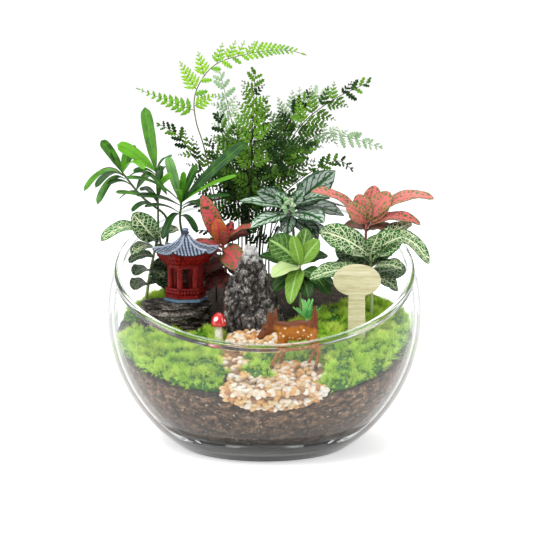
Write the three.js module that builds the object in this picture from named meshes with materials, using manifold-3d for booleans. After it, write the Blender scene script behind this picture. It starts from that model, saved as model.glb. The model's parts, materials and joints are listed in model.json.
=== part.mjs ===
// A planted glass bowl: a round bowl with a slanting mouth, filled with soil, moss, gravel,
// two rocks, small ornaments and several kinds of foliage plant.
// Lengths are in millimetres, +Z is up and the front is towards -Y.
// The origin is the middle of the bowl's flat foot.

import * as THREE from 'three';
import { mergeVertices } from 'three/addons/utils/BufferGeometryUtils.js';
import Module from 'manifold-3d';

const wasm = await Module();
wasm.setup();

// Driving dimensions
const BOWL_RADIUS = 100;
const BOWL_CENTRE_Z = 84;
const WALL = 3.5;
const FOOT_RADIUS = 50;
const FOOT_CURVE = 5;
const BASE_TOP = 8;
const FLOOR_CURVE = 1.2;
const RIM_TILT = THREE.MathUtils.degToRad(22.5);
const RIM_OFFSET = 34.2;
const BEAD_RADIUS = 2.3;
const WALL_BANDS = 7;
const SOIL_BANDS = 5;
const SOIL_LEVEL = 70;
const SOIL_SLOPE = 0.26;
const CLEARANCE = 0.3;
const HOLE_CLEARANCE = 0.7;
const ROOT_DEPTH = 11;
const HOLE_HEIGHT = 20;
const BED_THICKNESS = 1.2;
const STONES = 34;
const LEAF_HALF_THICKNESS = 0.36;
const LEAFLET_LEAN = THREE.MathUtils.degToRad(62);
const LEAFLET_DROOP = 0.12;
const LEAFLET_HALF_WIDTH = 4.4;
const STALK_STEP = 15;
const INNER_RADIUS = BOWL_RADIUS - WALL;
const AROUND = 32;
const FACET_SAG = 0.55;

// Colours
const GLASS = 0xe4efec;
const SOIL = 0x54443a;
const MOSS = 0x6aa61e;
const GRAVEL = 0xd9b98a;
const DARK_ROCK = 0x4a4648;
const LAYERED_ROCK = 0x6d625d;
const SLATE_BLUE = 0x4a6077;
const RED_RESIN = 0xa81c14;
const FAWN_BROWN = 0xb4681f;
const PALE_WOOD = 0xe3dcb2;
const MINT = 0x74b87c;
const FERN_LIGHT = 0x58a52a;
const FERN_DARK = 0x1f6a2c;
const FERN_PALE = 0x9cc79a;
const STRAP_GREEN = 0x3f8f1c;
const SILVER_GREEN = 0x3d7a52;
const VEINED_GREEN = 0x4c8a3c;
const PALE_GREEN = 0x8fc06a;
const VEINED_RED = 0xc8505a;

// The way in which most blades look: towards the front, or up and a little to the front.
const FRONT = [0, -1, 0.25];
const UP = [0, -0.45, 1];

const point = (x, y, z) => new THREE.Vector3(x, y, z);
const ground = (y) => SOIL_LEVEL + SOIL_SLOPE * y;

/** A repeatable stream of numbers from 0 to 1. */
function seeded(seed) {
  let state = seed;
  return () => {
    state = (state + 0x6d2b79f5) | 0;
    let mixed = Math.imul(state ^ (state >>> 15), 1 | state);
    mixed = (mixed + Math.imul(mixed ^ (mixed >>> 7), 61 | mixed)) ^ mixed;
    return ((mixed ^ (mixed >>> 14)) >>> 0) / 4294967296;
  };
}

/** A closed three.js geometry as a solid that can be joined and cut. */
function solid(geometry) {
  const bare = geometry.clone();
  bare.deleteAttribute('normal');
  bare.deleteAttribute('uv');
  const merged = mergeVertices(bare, 1e-4);
  return new wasm.Manifold(new wasm.Mesh({
    numProp: 3,
    vertProperties: new Float32Array(merged.attributes.position.array),
    triVerts: new Uint32Array(merged.index.array),
  }));
}

/** A joined or cut solid as a geometry again. */
function shape(body) {
  const mesh = body.getMesh();
  const geometry = new THREE.BufferGeometry();
  geometry.setAttribute('position', new THREE.BufferAttribute(mesh.vertProperties, 3));
  geometry.setIndex(new THREE.BufferAttribute(mesh.triVerts, 1));
  geometry.computeVertexNormals();
  return geometry;
}

/** All the solids joined into one, without the scraps that a join can leave. */
function join(bodies) {
  const whole = bodies.reduce((sum, body) => sum.add(body));
  const pieces = whole.decompose().sort((a, b) => b.volume() - a.volume());
  return pieces[0];
}

/** A closed geometry from points and triangles. */
function faceted(points, triangles) {
  const geometry = new THREE.BufferGeometry();
  const places = points.flatMap((p) => p.toArray());
  geometry.setAttribute('position', new THREE.Float32BufferAttribute(places, 3));
  geometry.setIndex(triangles.flat());
  return geometry;
}

/** A closed skin over rings of points, each counted anticlockwise, with a pole at both ends. */
function skin(start, rings, end) {
  const count = rings[0].length;
  const points = [start, ...rings.flat(), end];
  const last = points.length - 1;
  const at = (ring, i) => 1 + ring * count + (i % count);
  const triangles = [];
  for (let i = 0; i < count; i += 1) {
    triangles.push([0, at(0, i + 1), at(0, i)]);
    for (let ring = 0; ring + 1 < rings.length; ring += 1) {
      triangles.push([at(ring, i), at(ring, i + 1), at(ring + 1, i + 1)]);
      triangles.push([at(ring, i), at(ring + 1, i + 1), at(ring + 1, i)]);
    }
    triangles.push([at(rings.length - 1, i), at(rings.length - 1, i + 1), last]);
  }
  return faceted(points, triangles);
}

/** The azimuths of a ring, in equal steps. */
function azimuths(count, turn = 0) {
  return Array.from({ length: count }, (_, i) => turn + (i / count) * Math.PI * 2);
}

/** A level ring of points. */
function levelRing(radius, z) {
  return azimuths(AROUND).map((a) => point(radius * Math.cos(a), radius * Math.sin(a), z));
}

/** A point on a sphere round the bowl's centre; the polar angle is counted from straight down. */
function onSphere(radius, polar, azimuth) {
  const flat = radius * Math.sin(polar);
  const z = BOWL_CENTRE_Z - radius * Math.cos(polar);
  return point(flat * Math.cos(azimuth), flat * Math.sin(azimuth), z);
}

/** The polar angle at which a sphere meets a plane that tilts only front to back. */
function planeAngle(normalY, normalZ, level, azimuth) {
  const across = normalY * Math.sin(azimuth);
  const turn = Math.atan2(across, -normalZ);
  const middle = turn < 0 ? turn + 2 * Math.PI : turn;
  return middle - Math.acos(level / Math.hypot(across, normalZ));
}

/** A ring on a sphere, part of the way from one polar angle to another at each azimuth. */
function sphereRing(radius, from, to, share) {
  return azimuths(AROUND).map((a) => {
    const low = from(a);
    return onSphere(radius, low + (to(a) - low) * share, a);
  });
}

/** The bowl: thick flat base, even wall and a rounded bead round its slanting mouth. */
function glassBowl() {
  const middle = BOWL_RADIUS - WALL / 2;
  const rim = (a) => planeAngle(-Math.sin(RIM_TILT), Math.cos(RIM_TILT), RIM_OFFSET / middle, a);
  const underBead = (a) => rim(a) - BEAD_RADIUS / middle;
  const footAngle = () => Math.asin((FOOT_RADIUS + FOOT_CURVE) / BOWL_RADIUS);
  const floorAngle = () => Math.acos((BOWL_CENTRE_Z - BASE_TOP - FOOT_CURVE) / INNER_RADIUS);
  const rings = [levelRing(FOOT_RADIUS, 0)];
  for (let i = 0; i <= WALL_BANDS; i += 1) {
    rings.push(sphereRing(BOWL_RADIUS, footAngle, underBead, i / WALL_BANDS));
  }
  for (const turn of [0, 60, 120, 180]) {
    const bend = THREE.MathUtils.degToRad(turn);
    rings.push(azimuths(AROUND).map((a) => {
      const outward = onSphere(1, rim(a), a).sub(point(0, 0, BOWL_CENTRE_Z));
      const upward = point(
        Math.cos(rim(a)) * Math.cos(a), Math.cos(rim(a)) * Math.sin(a), Math.sin(rim(a)));
      return onSphere(middle, rim(a), a)
        .addScaledVector(outward, BEAD_RADIUS * Math.cos(bend))
        .addScaledVector(upward, BEAD_RADIUS * Math.sin(bend));
    }));
  }
  for (let i = WALL_BANDS; i >= 0; i -= 1) {
    rings.push(sphereRing(INNER_RADIUS, floorAngle, underBead, i / WALL_BANDS));
  }
  rings.push(levelRing(FOOT_RADIUS + FOOT_CURVE, BASE_TOP + FLOOR_CURVE));
  rings.push(levelRing(FOOT_RADIUS - 2 * FOOT_CURVE, BASE_TOP));
  return skin(point(0, 0, 0), rings, point(0, 0, BASE_TOP));
}

/** The soil: it fills the bowl up to a flat top that rises towards the back. */
function soilMass() {
  const radius = INNER_RADIUS - CLEARANCE - FACET_SAG;
  const floor = BASE_TOP + CLEARANCE;
  const low = () => Math.acos((BOWL_CENTRE_Z - floor - FOOT_CURVE) / radius);
  const top = (a) => planeAngle(-SOIL_SLOPE, 1, (SOIL_LEVEL - BOWL_CENTRE_Z) / radius, a);
  const rings = [
    levelRing(FOOT_RADIUS - 2 * FOOT_CURVE, floor), levelRing(FOOT_RADIUS + 4, floor + FLOOR_CURVE)];
  for (let i = 0; i <= SOIL_BANDS; i += 1) {
    rings.push(sphereRing(radius, low, top, i / SOIL_BANDS));
  }
  return solid(skin(point(0, 0, floor), rings, point(0, 0, SOIL_LEVEL)));
}

/** A straight upright prism, for stems' holes and other cuts. */
function uprightPrism(x, y, low, high, radius, sides = 6) {
  const prism = new THREE.CylinderGeometry(radius, radius, high - low, sides);
  prism.rotateX(Math.PI / 2).translate(x, y, (low + high) / 2);
  return solid(prism);
}

/** A box between two corners. */
function block(low, high) {
  const size = high.clone().sub(low);
  const box = new THREE.BoxGeometry(size.x, size.y, size.z);
  box.translate((low.x + high.x) / 2, (low.y + high.y) / 2, (low.z + high.z) / 2);
  return solid(box);
}

/** A round stem of one thickness through the points. */
function stem(points, radius, spacing = 16) {
  const path = new THREE.CatmullRomCurve3(points.map((p) => point(...p)));
  const section = new THREE.Shape(azimuths(5).map((a) => new THREE.Vector2(
    radius * Math.cos(a), radius * Math.sin(a))));
  const steps = Math.max(2, Math.round(path.getLength() / spacing));
  return solid(new THREE.ExtrudeGeometry(section, { steps, bevelEnabled: false, extrudePath: path }));
}

/** The points of a stem that stands in the soil, from the foot of its hole up. */
function planted(x, y, rest) {
  return [[x, y, ground(y) - ROOT_DEPTH], [x, y, ground(y) + 5], ...rest];
}

/**
 * A closed blade from one sheet of triangles. Each sheet point has its place, the direction that the
 * upper face looks in and half the thickness there; the edge lists the outline anticlockwise.
 */
function thicken(sheet, triangles, edge) {
  const count = sheet.length;
  const upper = sheet.map((s) => s.place.clone().addScaledVector(s.up, s.half));
  const lower = sheet.map((s) => s.place.clone().addScaledVector(s.up, -s.half));
  const faces = [];
  for (const [a, b, c] of triangles) {
    faces.push([a, b, c], [count + a, count + c, count + b]);
  }
  edge.forEach((a, i) => {
    const b = edge[(i + 1) % edge.length];
    faces.push([count + a, count + b, b], [count + a, b, a]);
  });
  return faceted([...upper, ...lower], faces);
}

/** The directions along, across and up from a blade that runs one way and looks another. */
function bladeFrame(along, face) {
  const across = face.clone().cross(along).normalize();
  return { along, across, up: along.clone().cross(across) };
}

/**
 * A leaf on its stalk. It runs from one point to the other, arched by the rise, with its upper side
 * towards face. The rows give the share of its length, the share of its half width, and the wave.
 */
function leaf({ from, to, width, rise = 3, face = UP, rows, half = LEAF_HALF_THICKNESS }) {
  const start = point(...from);
  const end = point(...to);
  const control = start.clone().lerp(end, 0.5).add(point(0, 0, rise * 2));
  const curve = new THREE.QuadraticBezierCurve3(start, control, end);
  const look = point(...face).normalize();
  const sheet = [];
  const triangles = [];
  const left = [];
  const right = [];
  for (const [share, spread, wave] of rows) {
    const frame = bladeFrame(curve.getTangent(share), look);
    const reach = (spread * width) / 2;
    const sides = reach > 0 ? [1, -1] : [0];
    const ids = sides.map((side) => sheet.push({
      place: curve.getPoint(share)
        .addScaledVector(frame.across, side * reach).addScaledVector(frame.up, side * wave * width),
      up: frame.up,
      half,
    }) - 1);
    if (left.length > 0) {
      const [a, b] = [left[left.length - 1], right[right.length - 1]];
      const [c, d] = [ids[0], ids[ids.length - 1]];
      if (a !== b) {
        triangles.push([a, b, d]);
      }
      if (c !== d) {
        triangles.push([a, d, c]);
      }
    }
    left.push(ids[0]);
    right.push(ids[ids.length - 1]);
  }
  const edge = [...right, ...left.reverse()];
  return solid(thicken(sheet, triangles, edge.filter((id, i) => edge.indexOf(id) === i)));
}

// Leaf outlines, as rows of share of length, share of half width and wave.
const STRAP = [[0, 0, 0], [0.34, 0.82, 0], [0.86, 0.92, 0], [1, 0, 0]];
const BROAD = [[0, 0, 0], [0.24, 0.66, 0.03], [0.54, 1, -0.04], [0.82, 0.62, 0.03], [1, 0, 0]];
const ROUND = [[0, 0, 0], [0.24, 0.82, 0.04], [0.56, 1, -0.04], [0.86, 0.72, 0.04], [1, 0, 0]];
const STAR = [[0, 0.3, 0], [0.55, 1, 0], [1, 0, 0]];
const EAR = [[0, 0.5, 0], [0.5, 1, 0], [1, 0, 0]];

/** A plant of stems and leaves, joined in one. */
function plant(stems, leaves) {
  return join([...stems, ...leaves.map((entry) => leaf(entry))]);
}

/** The leaves of a plant whose outlines are alike. */
function leavesOf(rows, list) {
  return list.map(([from, to, width, rise, face]) => ({ rows, from, to, width, rise, face }));
}

/** Triangles between two chains of points from foot to tip, the right one first. */
function between(right, left, along) {
  const triangles = [];
  let r = 0;
  let l = 0;
  while (r + 1 < right.length || l + 1 < left.length) {
    const rightNext = l + 1 === left.length
      || (r + 1 < right.length && along(right[r + 1]) <= along(left[l + 1]));
    const next = rightNext ? right[r + 1] : left[l + 1];
    if (right[r] !== left[l] && next !== left[l] && next !== right[r]) {
      triangles.push([left[l], right[r], next]);
    }
    r += rightNext ? 1 : 0;
    l += rightNext ? 0 : 1;
  }
  return triangles;
}

/** Leaflets up one side of a frond, closer and shorter towards its tip: their shares and lengths. */
function evenRow(count, longest, shift, taper = 1.1) {
  return Array.from({ length: count }, (_, i) => {
    const reach = longest * (0.1 + 0.9 * (1 - i / count) ** taper);
    return [1 - (1 - (i + shift) / (count + 0.3)) ** 1.4, reach];
  });
}

/**
 * A fern frond: one thin blade cut to the rib into toothed leaflets, on a long stalk in the soil.
 * Left and right list the leaflets by their share of the leafy part and their length.
 */
function frond({ root, path, face, bare, left, right }) {
  const curve = new THREE.CatmullRomCurve3(planted(...root, path).map((p) => point(...p)));
  const length = curve.getLength();
  const look = point(...face).normalize();
  const sheet = [];
  const flat = [];
  const ribWidth = (share) => 0.75 - 0.4 * share;
  const ribHalf = (share) => 0.6 - 0.2 * share;

  const put = (share, dx, dy, dz, half) => {
    const frame = bladeFrame(curve.getTangentAt(share), look);
    sheet.push({
      place: curve.getPointAt(share)
        .addScaledVector(frame.along, dx)
        .addScaledVector(frame.across, dy)
        .addScaledVector(frame.up, dz),
      up: frame.up,
      half,
    });
    return flat.push(new THREE.Vector2(share * length + dx, dy)) - 1;
  };

  const leaflet = (row, index, side) => {
    const [place, reach] = row[index];
    const next = index + 1 < row.length ? row[index + 1][0] : 1;
    const share = bare + place * (1 - bare);
    const pitch = (next - place) * (1 - bare) * length;
    const along = [Math.cos(LEAFLET_LEAN), side * Math.sin(LEAFLET_LEAN)];
    const ahead = [Math.sin(LEAFLET_LEAN), -side * Math.cos(LEAFLET_LEAN)];
    const broad = Math.min(pitch * 0.4, LEAFLET_HALF_WIDTH);
    const teeth = reach > 16 ? 2 : reach > 8 ? 1 : 0;
    const spot = (u, v) => {
      const x = along[0] * u * reach + ahead[0] * v * broad;
      const y = along[1] * u * reach + ahead[1] * v * broad;
      return [x, y + side * ribWidth(share) * 0.6, -LEAFLET_DROOP * u * u * reach];
    };
    const near = [];
    const far = [];
    for (let tooth = 0; tooth < teeth; tooth += 1) {
      const u = (tooth + 0.75) / (teeth + 0.9);
      const spread = 1 - 0.35 * u;
      near.push(spot(u, -spread), spot(u + 0.1, -0.32 * spread));
      far.push(spot(u + 0.1, spread), spot(u + 0.2, 0.32 * spread));
    }
    const foot = broad * (teeth > 0 ? 0.4 : 0.75);
    const edge = ribWidth(share) * side;
    const basal = [share, -foot, edge, 0, ribHalf(share)];
    const distal = [share, foot, edge, 0, ribHalf(share)];
    const blade = (spotXYZ) => [share, ...spotXYZ, LEAF_HALF_THICKNESS];
    return [basal, ...near.map(blade), blade(spot(1, 0)), ...far.reverse().map(blade), distal];
  };

  const stalkSteps = Math.max(3, Math.round((length * bare) / STALK_STEP));
  const stalk = Array.from({ length: stalkSteps }, (_, i) => (bare * 0.97 * i) / stalkSteps);
  const triangles = [];
  const chains = { [-1]: [], [1]: [] };
  const putLeaflet = (row, index, side) => {
    const entries = leaflet(row, index, side);
    const ids = (side < 0 ? entries : entries.reverse()).map((entry) => put(...entry));
    const [first, last] = [ids[0], ids[ids.length - 1]];
    THREE.ShapeUtils.triangulateShape(ids.map((id) => flat[id]), [])
      .forEach((corners) => triangles.push(corners.map((i) => ids[i])));
    chains[side].push(first, last);
  };
  stalk.forEach((share) => chains[-1].push(put(share, 0, -ribWidth(share), 0, ribHalf(share))));
  for (let i = 0; i < right.length; i += 1) {
    putLeaflet(right, i, -1);
  }
  const tip = put(1, 1.5, 0, 0, LEAF_HALF_THICKNESS);
  for (let i = left.length - 1; i >= 0; i -= 1) {
    putLeaflet(left, i, 1);
  }
  stalk.reverse().forEach((share) => chains[1].push(put(share, 0, ribWidth(share), 0, ribHalf(share))));
  const rib = between([...chains[-1], tip], [...chains[1].reverse(), tip], (id) => flat[id].x);
  return solid(thicken(sheet, [...triangles, ...rib], sheet.map((_, i) => i)));
}

/** A mat of moss over its outline in plan: low at the edge, mounded and lumpy inside. */
function mossMat(outline, centre, height, seed) {
  const random = seeded(seed);
  const low = (x, y) => point(x, y, ground(y) + CLEARANCE);
  const rings = [outline.map(([x, y]) => low(x, y))];
  for (const [share, level] of [[1, 0.3], [0.9, 0.75], [0.66, 0.95], [0.34, 1]]) {
    rings.push(outline.map(([x, y]) => {
      const px = centre[0] + (x - centre[0]) * share;
      const py = centre[1] + (y - centre[1]) * share;
      const lump = share === 1 ? 1 : 0.78 + 0.44 * random();
      return low(px, py).add(point(0, 0, height * level * lump));
    }));
  }
  const base = low(...centre);
  return solid(skin(base, rings, base.clone().add(point(0, 0, height * 1.05))));
}

/** The stones of the path, joined on a thin bed that lies on the soil. */
function gravelPath(outline, hooves) {
  const random = seeded(11);
  const plan = outline.map(([x, y]) => new THREE.Vector2(x, y));
  const bed = new THREE.ExtrudeGeometry(
    new THREE.Shape(plan), { depth: BED_THICKNESS, bevelEnabled: false });
  const spots = bed.attributes.position;
  for (let i = 0; i < spots.count; i += 1) {
    spots.setZ(i, spots.getZ(i) + ground(spots.getY(i)) + CLEARANCE);
  }
  const stones = [];
  const taken = [];
  for (let attempt = 0; attempt < 2600 && taken.length < STONES; attempt += 1) {
    const x = -27 + 66 * random();
    const y = -88 + 76 * random();
    const size = 2.4 + 1.3 * random() ** 2;
    const apart = taken.every((t) => Math.hypot(t.x - x, t.y - y) > (t.size + size) * 0.86);
    if (!apart || !inside(plan, x, y, size)) {
      continue;
    }
    taken.push({ x, y, size });
    const turn = random() * Math.PI;
    const level = ground(y) + CLEARANCE + BED_THICKNESS;
    const round = (radius, z) => azimuths(5, turn).map((a) => {
      const reach = radius * (0.82 + 0.36 * random());
      const dy = 0.85 * reach * Math.sin(a);
      return point(x + reach * Math.cos(a), y + dy, level + SOIL_SLOPE * dy + z * size);
    });
    const rings = [round(size * 0.9, -0.22), round(size * 0.95, 0.55)];
    stones.push(solid(skin(point(x, y, level - 0.7), rings, point(x, y, level + size))));
  }
  const wells = hooves.map(([x, y]) => uprightPrism(
    x, y, ground(y) + CLEARANCE + BED_THICKNESS + 0.75, ground(y) + 12, 2.1, 8));
  return join([solid(bed), ...stones]).subtract(wells.reduce((sum, well) => sum.add(well)));
}

/** Whether a round stone lies within an outline in plan. */
function inside(plan, x, y, size) {
  let within = false;
  let nearest = Infinity;
  for (let i = 0, j = plan.length - 1; i < plan.length; j = i, i += 1) {
    const a = plan[i];
    const b = plan[j];
    if (a.y > y !== b.y > y && x < ((b.x - a.x) * (y - a.y)) / (b.y - a.y) + a.x) {
      within = !within;
    }
    const edge = new THREE.Line3(point(a.x, a.y, 0), point(b.x, b.y, 0));
    nearest = Math.min(nearest, edge.closestPointToPoint(point(x, y, 0), true, point(0, 0, 0))
      .distanceTo(point(x, y, 0)));
  }
  return within && nearest > size * 0.75;
}

/** A rough stone: uneven rings, one above the other. */
function rock(centre, layers, sides, seed, roughness) {
  const random = seeded(seed);
  const [cx, cy] = centre;
  const rings = [];
  for (const [rx, ry, z, dx = 0, dy = 0, rough = roughness] of layers) {
    rings.push(azimuths(sides).map((a) => {
      const r = 1 + rough * (random() - 0.5);
      const lift = rough * 6 * (random() - 0.5);
      return point(cx + dx + rx * r * Math.cos(a), cy + dy + ry * r * Math.sin(a), z + lift);
    }));
  }
  const [, , bottom] = layers[0];
  const [, , top, dx = 0, dy = 0] = layers[layers.length - 1];
  return skin(point(cx, cy, bottom - 2), rings, point(cx + dx, cy + dy, top));
}

const PAVILION = [-51, 19];
const PAVILION_TURN = THREE.MathUtils.degToRad(10);
const ROCK_TOP = 89;
const PLINTH_TOP = ROCK_TOP + CLEARANCE + 2;
const BODY_BASE = PLINTH_TOP + CLEARANCE;
const RAIL_TOP = 98.2;
const EAVE_BEAM = 111;
const BODY_TOP = 118.6;
const EAVE_RADIUS = 21.5;
const COLUMN_CIRCLE = 9.9;
const COLUMN_RADIUS = 1.9;
const RAIL_RADIUS = 13.4;
const BALUSTERS = [0.04, 0.5];

/** A six-sided turned shape on the pavilion's axis. */
function hexagon(profile) {
  const turned = new THREE.LatheGeometry(profile.map(([r, z]) => new THREE.Vector2(r, z)), 6);
  turned.rotateX(Math.PI / 2).rotateZ(PAVILION_TURN).translate(...PAVILION, 0);
  return solid(turned);
}

/** A place on the pavilion's plan, by its radius and its angle in sixths of a turn. */
function sixth(radius, step) {
  const angle = PAVILION_TURN + (step * Math.PI) / 3;
  return [PAVILION[0] + radius * Math.cos(angle), PAVILION[1] + radius * Math.sin(angle)];
}

/** The pavilion's red part: floor, six columns, railing with balusters, and the cone under the eaves. */
function pavilionBody() {
  const parts = [
    hexagon([
      [0, BODY_BASE], [RAIL_RADIUS, BODY_BASE], [RAIL_RADIUS, BODY_BASE + 1.4], [0, BODY_BASE + 1.4]]),
    hexagon([
      [RAIL_RADIUS - 1.8, RAIL_TOP - 1.5], [RAIL_RADIUS, RAIL_TOP - 1.5],
      [RAIL_RADIUS, RAIL_TOP], [RAIL_RADIUS - 1.8, RAIL_TOP], [RAIL_RADIUS - 1.8, RAIL_TOP - 1.5]]),
    hexagon([[0, EAVE_BEAM], [12.2, EAVE_BEAM], [12.2, EAVE_BEAM + 2.4], [17, BODY_TOP], [0, BODY_TOP]]),
  ];
  for (let corner = 0; corner < 6; corner += 1) {
    parts.push(uprightPrism(...sixth(COLUMN_CIRCLE, corner), BODY_BASE + 0.6, EAVE_BEAM + 1, COLUMN_RADIUS, 7));
    const [ax, ay] = sixth(RAIL_RADIUS - 1, corner);
    const [bx, by] = sixth(RAIL_RADIUS - 1, corner + 1);
    for (const share of BALUSTERS) {
      const [x, y] = [ax + (bx - ax) * share, ay + (by - ay) * share];
      parts.push(uprightPrism(x, y, BODY_BASE + 0.7, RAIL_TOP - 0.7, 0.75, 4));
    }
  }
  return join(parts);
}

/** The pavilion's roof: six concave slopes, eaves that sweep up to their corners, and a ball on top. */
function pavilionRoof() {
  const ring = (radius, z, lift) => azimuths(12, PAVILION_TURN).map((a, i) => {
    const corner = i % 2 === 0;
    const reach = corner ? radius : radius * 0.85;
    const height = z + (corner ? lift : 0);
    return point(PAVILION[0] + reach * Math.cos(a), PAVILION[1] + reach * Math.sin(a), height);
  });
  const low = BODY_TOP + CLEARANCE;
  const rings = [
    ring(13, low, 0), ring(EAVE_RADIUS - 0.8, low + 0.9, 2.6), ring(EAVE_RADIUS, low + 2.2, 2.8),
    ring(14.5, low + 4.2, 0.9), ring(8.5, low + 6.8, 0.5), ring(4.8, low + 9.6, 0.3),
    ring(2.3, low + 13, 0), ring(2.5, low + 15.2, 0), ring(1.5, low + 17, 0)];
  return skin(point(...PAVILION, low), rings, point(...PAVILION, low + 17.6));
}

const MUSHROOM = [-29, -14];
const MUSHROOM_DEPTH = 5;

/** The mushroom ornament: a spotted cap on a stem that stands in the moss and soil. */
function mushroom() {
  const foot = ground(MUSHROOM[1]) - MUSHROOM_DEPTH;
  const profile = [
    [0, foot], [2.9, foot], [2.7, 74], [2, 79.2],
    [4.3, 78.2], [4.9, 79.6], [4.3, 83.2], [2.6, 85.9], [0, 86.8]];
  const turned = new THREE.LatheGeometry(profile.map(([r, z]) => new THREE.Vector2(r, z)), 12);
  turned.rotateX(Math.PI / 2).translate(...MUSHROOM, 0);
  return solid(turned);
}

/** A tapered round limb between two points. */
function limb(from, to, nearRadius, farRadius, sides = 6) {
  const start = point(...from);
  const way = point(...to).sub(start);
  const rod = new THREE.CylinderGeometry(farRadius, nearRadius, way.length(), sides);
  rod.applyQuaternion(new THREE.Quaternion().setFromUnitVectors(point(0, 1, 0), way.clone().normalize()));
  rod.translate(...start.addScaledVector(way, 0.5).toArray());
  return solid(rod);
}

/** A rounded mass with three radii, pitched about the crosswise axis. */
function mass(centre, radii, pitch = 0, across = 9, down = 6) {
  const ball = new THREE.SphereGeometry(1, across, down);
  ball.scale(...radii).rotateY(pitch).translate(...centre);
  return solid(ball);
}

const HOOF_LIFT = CLEARANCE * 2 + BED_THICKNESS + 0.75;
const HOOVES = [[4.5, -54.2], [10, -48], [27.6, -48], [31.5, -54.2]];

/** The fawn ornament, which grazes facing left. */
function fawn() {
  const [nearFore, farFore, farHind, nearHind] = HOOVES.map(([x, y]) => [x, y, ground(y) + HOOF_LIFT]);
  const legs = [
    [[11, -53.4, 80], [8.2, -54.2, 68.5], nearFore], [[13, -48.8, 80], [12, -48, 68.5], farFore],
    [[27, -48.8, 81], [30.8, -48, 69], farHind], [[28, -53.4, 81], [33.6, -54.2, 69], nearHind],
  ].flatMap(([hip, knee, hoof]) => [
    limb(hip, knee, 2.9, 1.3, 5), limb([knee[0], knee[1], knee[2] + 1], hoof, 1.5, 1.1, 5)]);
  const ear = (from, to) => leaf({
    rows: EAR, half: 0.5, from, to, width: 5, rise: 0, face: [-0.4, -1, 0.2] });
  return join([
    mass([20.5, -51.2, 82.4], [12, 5.2, 6.6], -0.1, 9, 7),
    limb([13, -51.2, 83], [4, -52, 84.4], 5.2, 3.3, 7), mass([2.4, -52.2, 83], [5, 3.5, 3.8], -0.7, 7, 5),
    limb([1.5, -52.3, 82], [-3.8, -52.8, 77.6], 3, 1.6, 6),
    ear([5, -54, 85], [2.5, -56, 95]), ear([6, -50, 85.5], [7, -47, 95.5]),
    limb([29, -51, 86], [30.5, -50.5, 97], 2.6, 0.9, 5), ...legs]);
}

const SIGN = [58, -18];
const SIGN_THICKNESS = 3;
const POST_HALF_WIDTH = 5.2;
const BOARD_HALF_WIDTH = 15;
const BOARD_HALF_HEIGHT = 10.2;
const BOARD_CENTRE_Z = 108;

/** The plain sign: an oval board and its flat post, cut from one piece of pale wood. */
function sign() {
  const board = new THREE.Shape(azimuths(18).map((a) => new THREE.Vector2(
    BOARD_HALF_WIDTH * Math.cos(a), BOARD_HALF_HEIGHT * Math.sin(a))));
  const plate = new THREE.ExtrudeGeometry(board, { depth: SIGN_THICKNESS, bevelEnabled: false });
  plate.rotateX(Math.PI / 2).translate(SIGN[0], SIGN[1] + SIGN_THICKNESS / 2, BOARD_CENTRE_Z);
  const low = ground(SIGN[1]) - ROOT_DEPTH;
  const postShape = new THREE.Shape([
    new THREE.Vector2(-POST_HALF_WIDTH - 0.6, low), new THREE.Vector2(POST_HALF_WIDTH + 0.6, low),
    new THREE.Vector2(POST_HALF_WIDTH, 100), new THREE.Vector2(-POST_HALF_WIDTH, 100)]);
  const post = new THREE.ExtrudeGeometry(postShape, { depth: SIGN_THICKNESS, bevelEnabled: false });
  post.rotateX(Math.PI / 2).translate(SIGN[0], SIGN[1] + SIGN_THICKNESS / 2, 0);
  return join([solid(plate), solid(post)]);
}

// Where each plant stands, in plan, with the radius of its stem.
const ROOTS = {
  strapLeft: [-66, 51, 1.1], strapBack: [-61, 44, 1], strapRight: [-50, 50, 1.2],
  whiteLeft: [-78, 37, 1.3], redCentre: [-26, 33, 1.3], paleCentre: [23, 15, 1.3],
  pilea: [19, 38, 1.4], whiteRight: [69, 11, 1.4], redRight: [65, 29, 1.4], star: [27, -12, 1.1],
};

/** A stem of one of the plants above, from its hole in the soil. */
function plantStem(name, rest) {
  const [x, y, radius] = ROOTS[name];
  return stem(planted(x, y, rest), radius);
}

function strapLeft() {
  const top = [-92.5, 38, 170];
  const low = [-80, 40, 154];
  return plant(
    [plantStem('strapLeft', [[-66, 46, 112], [-63.5, 42, 131], [-64.5, 39.6, 141], low, top])],
    leavesOf(STRAP, [
      [top, [-105, 24, 192], 8, 2, FRONT], [top, [-85, 50, 187], 5, 0, FRONT],
      [top, [-77, 19, 174], 6, 6, UP],
      [[-92.5, 38, 169], [-117, 30, 159], 6, 7, UP], [[-92, 38, 168], [-108, 14, 163], 6, 5, UP],
      [[-91, 38.5, 166], [-108, 24, 151], 6, 7, UP], [low, [-96, 28, 158], 5, 1, UP],
      [[-79, 40.4, 153], [-96, 56, 151], 6, 4, UP], [[-84, 39.5, 158], [-76, 56, 168], 5, 2, FRONT],
    ]));
}

function strapBack() {
  const top = [-70.5, 36, 171];
  const low = [-69.5, 36, 152];
  return plant(
    [plantStem('strapBack', [[-65, 39, 110], [-69, 36, 130], low, top])],
    leavesOf(STRAP, [
      [top, [-77, 30, 213], 9.5, 0, FRONT], [top, [-95, 30, 189], 9, 2, FRONT],
      [low, [-68, 46, 174], 5, 0, FRONT], [top, [-60, 22, 182], 6, 3, UP],
      [[-69.5, 36, 150], [-82, 52, 158], 5, 4, UP],
      [[-70, 36, 163], [-66, 56, 172], 6, 4, UP],
    ]));
}

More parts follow.
